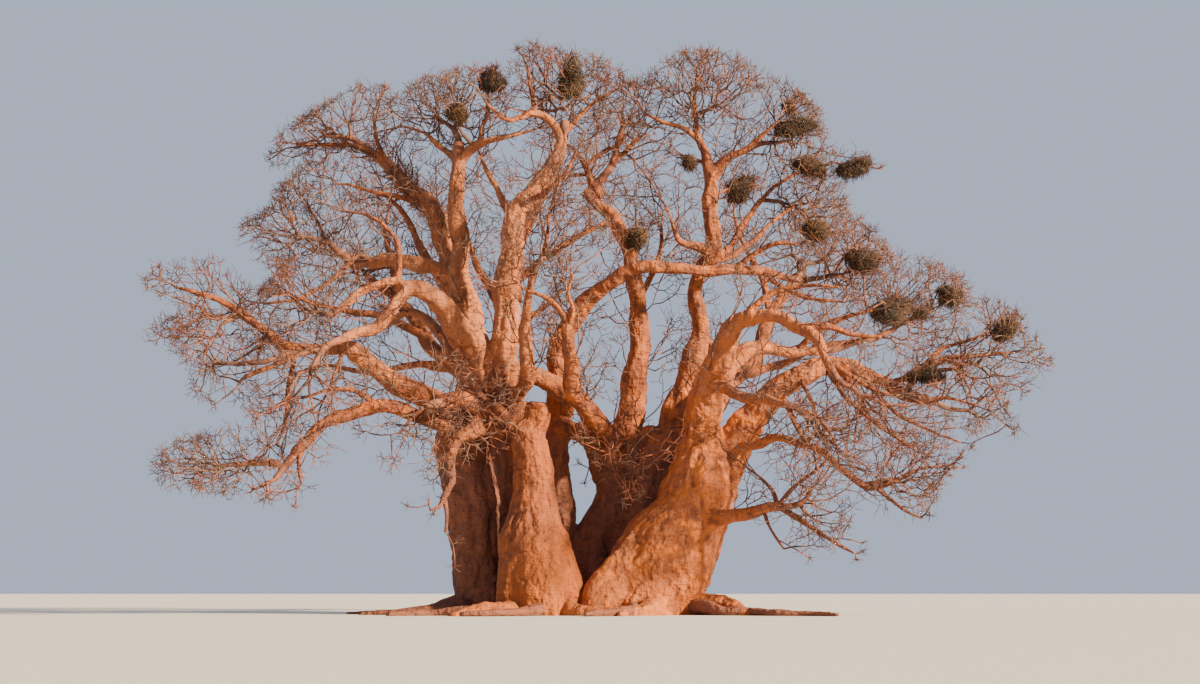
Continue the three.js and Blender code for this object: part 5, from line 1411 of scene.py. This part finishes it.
def mesh_from_arrays(name, points, quads, triangles, kinds):
    """An object whose mesh has these points and faces."""
    mesh = bpy.data.meshes.new(name)
    mesh.vertices.add(len(points))
    mesh.vertices.foreach_set("co", points.ravel())
    corners = np.concatenate((quads.ravel(), triangles.ravel())).astype(np.int32)
    mesh.loops.add(len(corners))
    mesh.loops.foreach_set("vertex_index", corners)
    starts = np.concatenate((np.arange(len(quads)) * 4, len(quads) * 4 + np.arange(len(triangles)) * 3))
    mesh.polygons.add(len(starts))
    mesh.polygons.foreach_set("loop_start", starts.astype(np.int32))
    mesh.polygons.foreach_set("material_index", kinds.astype(np.int32))
    mesh.update(calc_edges=True)
    mesh.validate()
    piece = bpy.data.objects.new(name, mesh)
    bpy.context.scene.collection.objects.link(piece)
    return piece


def twig_sides(places):
    """How many sides a twig's tube has."""
    return 6 if places[0][1] > THICK_TWIG else 4 if places[0][1] > THIN_TWIG else 3


def triangles_of(places):
    """How many triangles a twig's tube has."""
    sides = twig_sides(places)
    return 2 * sides * (len(places) - 1) + 2 * (sides - 2)


twig_pieces = {}
for region, rows in grown.items():
    draw = seeded_numbers(len(region) + 5)
    tubes = [(kind, bent(places, draw)) for kind, places in rows]
    total = sum(triangles_of(places) for _, places in tubes)
    room = max(0.0, (TWIG_LIMIT - total) / (SPUR_TRIANGLES * len(rows)))
    for kind, places in rows:
        if places[0][1] < THIN_TWIG and draw() < room:
            tubes.append((kind, spur_of(places, draw)))
    piece = tubes_from_arrays("fine_twigs_" + region, tubes, twig_sides)
    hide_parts(*("twigs_" + mass for mass in REGIONS[region]))
    twig_pieces[region] = piece
    total = sum(triangles_of(places) for _, places in tubes)
    print(piece.name, total, "triangles, room for spurs", round(room, 2))

# %% [markdown]
# A nest is several lumps of sticks side by side. Each lump has a dark core, painted shade for the inside
# of the nest, that lets no light through, and sticks lie over it in all directions. Some hang out of the
# lower side, and some stand off like spikes.

# %% Sticks of the nests
LOBE_SEED = 211
STICK_SEED = 311
LOBES = 5
STICKS_PER_LOBE = 130
# How far out of its lump's middle a stick lies, as a share of the lump, and its length: at least the first
# number, and up to the second more.
STICK_OUT = (0.78, 0.24)
STICK_LENGTH = (0.18, 0.34)
STICK_RADII = (0.011, 0.006)
# The share of the sticks that stand off, and the share of the lowest ones that hang.
SPIKES = 0.22
HANGING = 0.4


def nest_lobes():
    """Middle, half width and half height of every lump, with the number of its nest."""
    draw = seeded_numbers(LOBE_SEED)
    lobes = []
    for number, nest in enumerate(NESTS.values()):
        wide, tall = [half * FULLNESS * spread_at(nest[2]) for half in nest[3:]]
        for i in range(LOBES):
            turn = i * GOLDEN_ANGLE + number
            share = 0.5 * math.sqrt(i / LOBES)
            aside = Vector((wide * math.cos(turn), wide * math.sin(turn), tall * math.sin(turn * 1.7)))
            aside *= share
            size = 0.52 + 0.22 * draw() + (0.12 if i == 0 else 0)
            lobes.append((number, seen(nest) + aside, wide * size, tall * size))
    return lobes


def nest_hearts(lobes):
    """A dark, lumpy ball in every lump, painted shade for the inside of the nest."""
    shade_cores = bmesh.new()
    for _, middle, wide, tall in lobes:
        place = Matrix.Translation(middle) @ Matrix.Diagonal((wide, wide, tall, 1))
        ball = bmesh.ops.create_icosphere(shade_cores, subdivisions=2, radius=0.84, matrix=place)
        for vert in ball["verts"]:
            vert.co += (vert.co - middle) * 0.35 * noise.noise(vert.co * 3.1)
    return object_of(shade_cores, "nest_hearts")


def nest_sticks(lobes):
    """Sticks laid over every lump."""
    draw = seeded_numbers(STICK_SEED)
    sticks = []
    for number, middle, wide, tall in lobes:
        count = round(STICKS_PER_LOBE * min(1.3, wide * tall / 0.09 + 0.3))
        for i in range(count):
            up = 1 - 2 * (i + 0.5) / count
            turn = i * GOLDEN_ANGLE
            out = math.sqrt(1 - up * up)
            away = Vector((out * math.cos(turn), out * math.sin(turn), up))
            out_share = STICK_OUT[0] + STICK_OUT[1] * draw()
            point = middle + Vector((away.x * wide, away.y * wide, away.z * tall)) * out_share
            tumble = jitter(draw)
            outward = 1.1 if draw() < SPIKES else 0.15
            lay = tumble - away * tumble.dot(away) * 0.75 + away * outward * 0.5
            if up < -0.3 and draw() < HANGING:
                lay += Vector((0, 0, -0.7))
            lay.normalize()
            length = STICK_LENGTH[0] + STICK_LENGTH[1] * draw()
            start, end = point - lay * length * 0.4, point + lay * length * 0.6
            sticks.append((number % 2, [(start, STICK_RADII[0]), (end, STICK_RADII[1])]))
    return tubes_from_arrays("nest_sticks", sticks, lambda places: 3)


lobes = nest_lobes()
shade_cores = nest_hearts(lobes)
sticks = nest_sticks(lobes)
print(shade_cores.name, len(shade_cores.data.polygons), "faces;", sticks.name, len(sticks.data.polygons), "faces")

# %% [markdown]
# Finishes are node graphs, and a small class makes them read like sums: it wraps a socket, and an operator
# on it adds the Math node.

# %% A socket that can be reckoned with
class Value:
    """A socket of a node graph. Operators on it add Math nodes."""

    def __init__(self, graph, socket):
        self.graph, self.socket = graph, socket

    def math(self, operation, *others):
        return self.graph.node("ShaderNodeMath", {"operation": operation}, {
            i: value for i, value in enumerate((self,) + others)})

    def __add__(self, other):
        return self.math("ADD", other)

    def __mul__(self, other):
        return self.math("MULTIPLY", other)

    def __rsub__(self, other):
        return self.graph.node("ShaderNodeMath", {"operation": "SUBTRACT"}, {0: other, 1: self})

    __radd__ = __add__
    __rmul__ = __mul__

    def between(self, low, high):
        """0 at low, 1 at high, smooth in between."""
        return self.graph.node("ShaderNodeMapRange", {"interpolation_type": "SMOOTHSTEP"},
                               {0: self, 1: low, 2: high, 3: 0.0, 4: 1.0})


class Finish:
    """A material and its graph."""

    def __init__(self, name):
        self.material = bpy.data.materials.new(name)
        self.material.use_nodes = True
        self.nodes = self.material.node_tree.nodes
        self.links = self.material.node_tree.links
        self.shader = self.nodes["Principled BSDF"]

    def node(self, kind, settings, inputs, output=0):
        """Adds a node, sets its settings, then its sockets, and gives back one output."""
        made = self.nodes.new(kind)
        for name, value in settings.items():
            setattr(made, name, value)
        for socket, value in inputs.items():
            self.feed(made.inputs[socket], value)
        return Value(self, made.outputs[output])

    def feed(self, socket, value):
        """Links a value to a socket, or sets the socket to a constant."""
        if isinstance(value, Value):
            self.links.new(value.socket, socket)
        elif isinstance(value, tuple) and len(value) == 3 and socket.type == "RGBA":
            socket.default_value = (*value, 1)
        else:
            socket.default_value = value

    def mix(self, share, first, second):
        """Mixes two colours."""
        return self.node("ShaderNodeMix", {"data_type": "RGBA"}, {0: share, 6: first, 7: second}, output=2)

    def noise(self, place, size, detail, rough=0.55):
        """Noise from 0 to 1 whose lumps are about size metres across."""
        return self.node("ShaderNodeTexNoise", {}, {"Vector": place, "Scale": 1 / size, "Detail": detail,
                                                    "Roughness": rough})

    def place(self):
        """Object coordinates."""
        return self.node("ShaderNodeTexCoord", {}, {}, output=3)

    def attribute(self, name):
        """The number that was written on the mesh under this name."""
        return self.node("ShaderNodeAttribute", {"attribute_name": name}, {}, output=2)

    def stretched(self, place, stretch):
        """The place, multiplied along each axis."""
        return self.node("ShaderNodeVectorMath", {"operation": "MULTIPLY"}, {0: place, 1: stretch})

    def shade(self, **sockets):
        """Feeds the shader's sockets, and gives back the material."""
        for name, value in sockets.items():
            self.feed(self.shader.inputs[name.replace("_", " ")], value)
        return self.material


def linear(red, green, blue):
    """The colour that a screen shows as these three numbers, from 0 to 255."""
    return tuple(((v / 255 + 0.055) / 1.055) ** 2.4 if v > 10 else v / 3294.6 for v in (red, green, blue))


# %% [markdown]
# Bark is warm tan on the rounded lumps, with broad pale and ruddy patches and fine grey flecks. Its creases
# and the dents of its bump are darkened with painted shade. Thin limbs are ruddier than the stems. Painted
# shade makes the bark duller low between the stems, and painted sunlight makes it paler near the foot and
# high up. The large stem at the right gets a brighter, warmer copy of the bark as painted sunlight, and the
# broken one in front is the most even. The painted crease shade comes from the value that the relief wrote
# on the skin, so it sits where the shape is. Fine grain is a bump.

# %% Bark
TAN = linear(150, 76, 37)
SANDY = linear(150, 75, 29)
PALE_MOTTLE_AND_PAINTED_LIGHT = linear(202, 108, 34)
RUDDY = linear(98, 48, 30)
# Dark brown for real stains and streaks, and for painted shade in the creases and dents.
STAIN_AND_PAINTED_SHADE = linear(42, 22, 17)
GREY = linear(118, 84, 58)
# Painted shade: a duller brown for the low bark between the stems.
PAINTED_SHADE_BROWN = linear(112, 70, 58)
# Painted sunlight: a brighter, warmer base for the stem at the right.
SUNLIT_STEM_TAN = linear(184, 104, 60)
SUNLIT = linear(214, 138, 92)


def bark_finish(name, base, pale, dark, streaked, painted_shade, sunlit):
    """Bark with shares of pale mottling, dark thin limbs, streaks, painted low shade and painted high sun."""
    finish = Finish(name)
    place = finish.place()
    height = finish.node("ShaderNodeSeparateXYZ", {}, {0: place}, output=2)
    crease_shade_mask = finish.attribute("crease_shade_mask")
    thick = finish.attribute("thick")
    patches = finish.noise(place, 2.1, 2.0).between(0.4, 0.62)
    mottle = finish.noise(place, 0.5, 2.0, 0.5)
    streaks = finish.noise(finish.stretched(place, (1, 1, 0.22)), 0.2, 2.5, 0.5)
    bands = finish.noise(finish.stretched(place, (0.5, 0.5, 2.6)), 0.22, 2.0, 0.5)
    flecks = finish.noise(place, 0.09, 3.0, 0.7)
    stains = finish.noise(place, 0.55, 5.0, 0.7).between(0.52, 0.7)
    dents = finish.noise(place, 0.32, 2.0, 0.5).between(0.32, 0.66)
    layers = [
        (patches, 0.75, RUDDY),
        (mottle.between(0.42, 0.66), pale, PALE_MOTTLE_AND_PAINTED_LIGHT),
        # Painted sunlight: paler near the foot, against the dappled shade on the stems higher up.
        (1 - height.between(0.6, 4.5), 0.35, PALE_MOTTLE_AND_PAINTED_LIGHT),
        (streaks.between(0.5, 0.7), streaked, PALE_MOTTLE_AND_PAINTED_LIGHT),
        (height.between(7, 9.5), sunlit, SUNLIT),
        # Painted shade: duller low between the stems.
        (1 - height.between(4.5, 7.5), painted_shade, PAINTED_SHADE_BROWN),
        (1 - streaks.between(0.3, 0.45), 0.3, STAIN_AND_PAINTED_SHADE),
        (flecks.between(0.58, 0.72), 0.16, GREY),
        (1 - thick.between(0.1, 0.75), dark, RUDDY),
        (stains, 0.16, STAIN_AND_PAINTED_SHADE),
        # Painted shade: darker in the creases of the relief.
        (1 - crease_shade_mask.between(0.1, 0.5), 0.55, STAIN_AND_PAINTED_SHADE),
        # Painted shade: darker in the dents that the bump sinks.
        (1 - dents, 0.14, STAIN_AND_PAINTED_SHADE),
    ]
    colour = base
    for where, share, tint in layers:
        colour = finish.mix(where * share, colour, tint)
    grain = finish.noise(place, 0.05, 4.0, 0.65) * 0.4 + flecks * 0.5
    grain = grain + dents * 1.45 + bands.between(0.36, 0.64) * 0.45 + streaks.between(0.36, 0.64) * 0.55
    bump = finish.node("ShaderNodeBump", {}, {"Strength": 0.9, "Distance": 0.05, "Height": grain})
    return finish.shade(Base_Color=colour, Roughness=0.72 + flecks * 0.2, Normal=bump)


# The middle and back stems and the thin branches get painted shade low down.
bark_material = bark_finish("bark", TAN, pale=0.7, dark=0.3, streaked=0.4, painted_shade=0.75, sunlit=0.1)
family_materials = {
    "left": bark_finish("sunlit bark", TAN, pale=0.7, dark=0.3, streaked=0.4, painted_shade=0.75, sunlit=0.45),
    # The right stem's copy is brighter and paler: painted sunlight.
    "right": bark_finish("sunlit stem bark", SUNLIT_STEM_TAN, pale=0.95, dark=0.2, streaked=0.7, painted_shade=0.0, sunlit=0.15),
    "front_left": bark_finish("pale bark", SANDY, pale=0.12, dark=0.1, streaked=0.3, painted_shade=0.0, sunlit=0.0),
}


def twig_finish(name, colour, other):
    """Two colours, mottled."""
    finish = Finish(name)
    mottle = finish.noise(finish.place(), 0.5, 2.0)
    return finish.shade(Base_Color=finish.mix(mottle.between(0.35, 0.65), colour, other),
                        Roughness=0.75 + 0.15 * mottle)


twig_materials = [
    twig_finish("twigs ruddy", linear(144, 86, 62), linear(106, 62, 46)),
    twig_finish("twigs brown", linear(104, 66, 52), linear(74, 48, 40)),
    twig_finish("twigs grey", linear(132, 96, 80), linear(94, 70, 58)),
    # Painted sunlight: the coat of shoots is paler, as if the sun reached it.
    twig_finish("shoots with painted sunlight", linear(204, 146, 116), linear(158, 108, 84)),
]
nest_materials = [
    twig_finish("nest olive", linear(112, 80, 52), linear(74, 53, 38)),
    twig_finish("nest brown", linear(92, 62, 42), linear(60, 43, 32)),
    # Painted shade: the dark brown of the cores inside the nests.
    twig_finish("nest painted shade", linear(46, 36, 26), linear(34, 27, 20)),
]

# %% [markdown]
# Every piece rides on the one body and gets its finishes, and the bark hides the solids that it covers.

# %% Place the pieces in the frame
for name, piece in bark.items():
    stems, boughs, _ = FAMILIES[name]
    piece.data.materials.append(family_materials.get(name, bark_material))
    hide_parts(*("stem_" + stem for stem in stems), *("bough_" + bough for bough in boughs))
    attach(piece, "root")
branches.data.materials.append(bark_material)
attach(branches, "root")
for piece in twig_pieces.values():
    for material in twig_materials:
        piece.data.materials.append(material)
    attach(piece, "root")
shade_cores.data.materials.append(nest_materials[2])
for material in nest_materials[:2]:
    sticks.data.materials.append(material)
for piece in (shade_cores, sticks):
    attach(piece, "root")

# %% [markdown]
# The floor is plain and pale. A broad, low sun from the front right gives the bark its relief, and the pale
# surroundings fill the shadows.

# %% Floor and light
FLOOR_REACH = 400
SUN_STRENGTH = 16.5
SUN_WIDTH = math.radians(3)
SUN_COLOUR = (1.0, 0.79, 0.52)
# How far the rays lean from straight down, and how far they turn to the left of the line of sight.
SUN_LEAN = math.radians(68)
SUN_TURN = math.radians(60)
SKY_COLOUR = (0.68, 0.79, 1.0, 1)
SKY_STRENGTH = 0.7

floor_shape = bmesh.new()
bmesh.ops.create_grid(floor_shape, x_segments=2, y_segments=2, size=FLOOR_REACH)
floor = object_of(floor_shape, "floor")
floor_finish = Finish("floor")
floor.data.materials.append(floor_finish.shade(Base_Color=linear(208, 201, 189), Roughness=0.9))

sun_data = bpy.data.lights.new("soft key", "SUN")
sun_data.energy = SUN_STRENGTH
sun_data.angle = SUN_WIDTH
sun_data.color = SUN_COLOUR
sun = bpy.data.objects.new("soft key", sun_data)
sun.rotation_euler = (SUN_LEAN, 0, SUN_TURN)
bpy.context.scene.collection.objects.link(sun)

world = bpy.data.worlds.new("studio")
world.use_nodes = True
background = world.node_tree.nodes["Background"]
background.inputs["Color"].default_value = SKY_COLOUR
background.inputs["Strength"].default_value = SKY_STRENGTH
bpy.context.scene.world = world

# %% [markdown]
# The camera stands where the picture was taken from: far back, at eye height, looking up a little.

# %% Camera
# The middle of the picture and its width, on the upright plane through the trunk, and the sensor in mm.
LOOK_AT = Vector((0.36, 0, 9.72))
PICTURE_WIDTH = 43.2
SENSOR = 36.0

eye = Vector((0, -EYE_BACK, EYE_HEIGHT))
camera_data = bpy.data.cameras.new("camera")
camera_data.sensor_width = SENSOR
camera_data.lens = SENSOR * (LOOK_AT - eye).length / PICTURE_WIDTH
camera_data.clip_end = 1000
camera = bpy.data.objects.new("camera", camera_data)
camera.location = eye
camera.rotation_euler = (LOOK_AT - eye).to_track_quat("-Z", "Y").to_euler()
bpy.context.scene.collection.objects.link(camera)
bpy.context.scene.camera = camera
print("lens", round(camera_data.lens, 1), "mm")
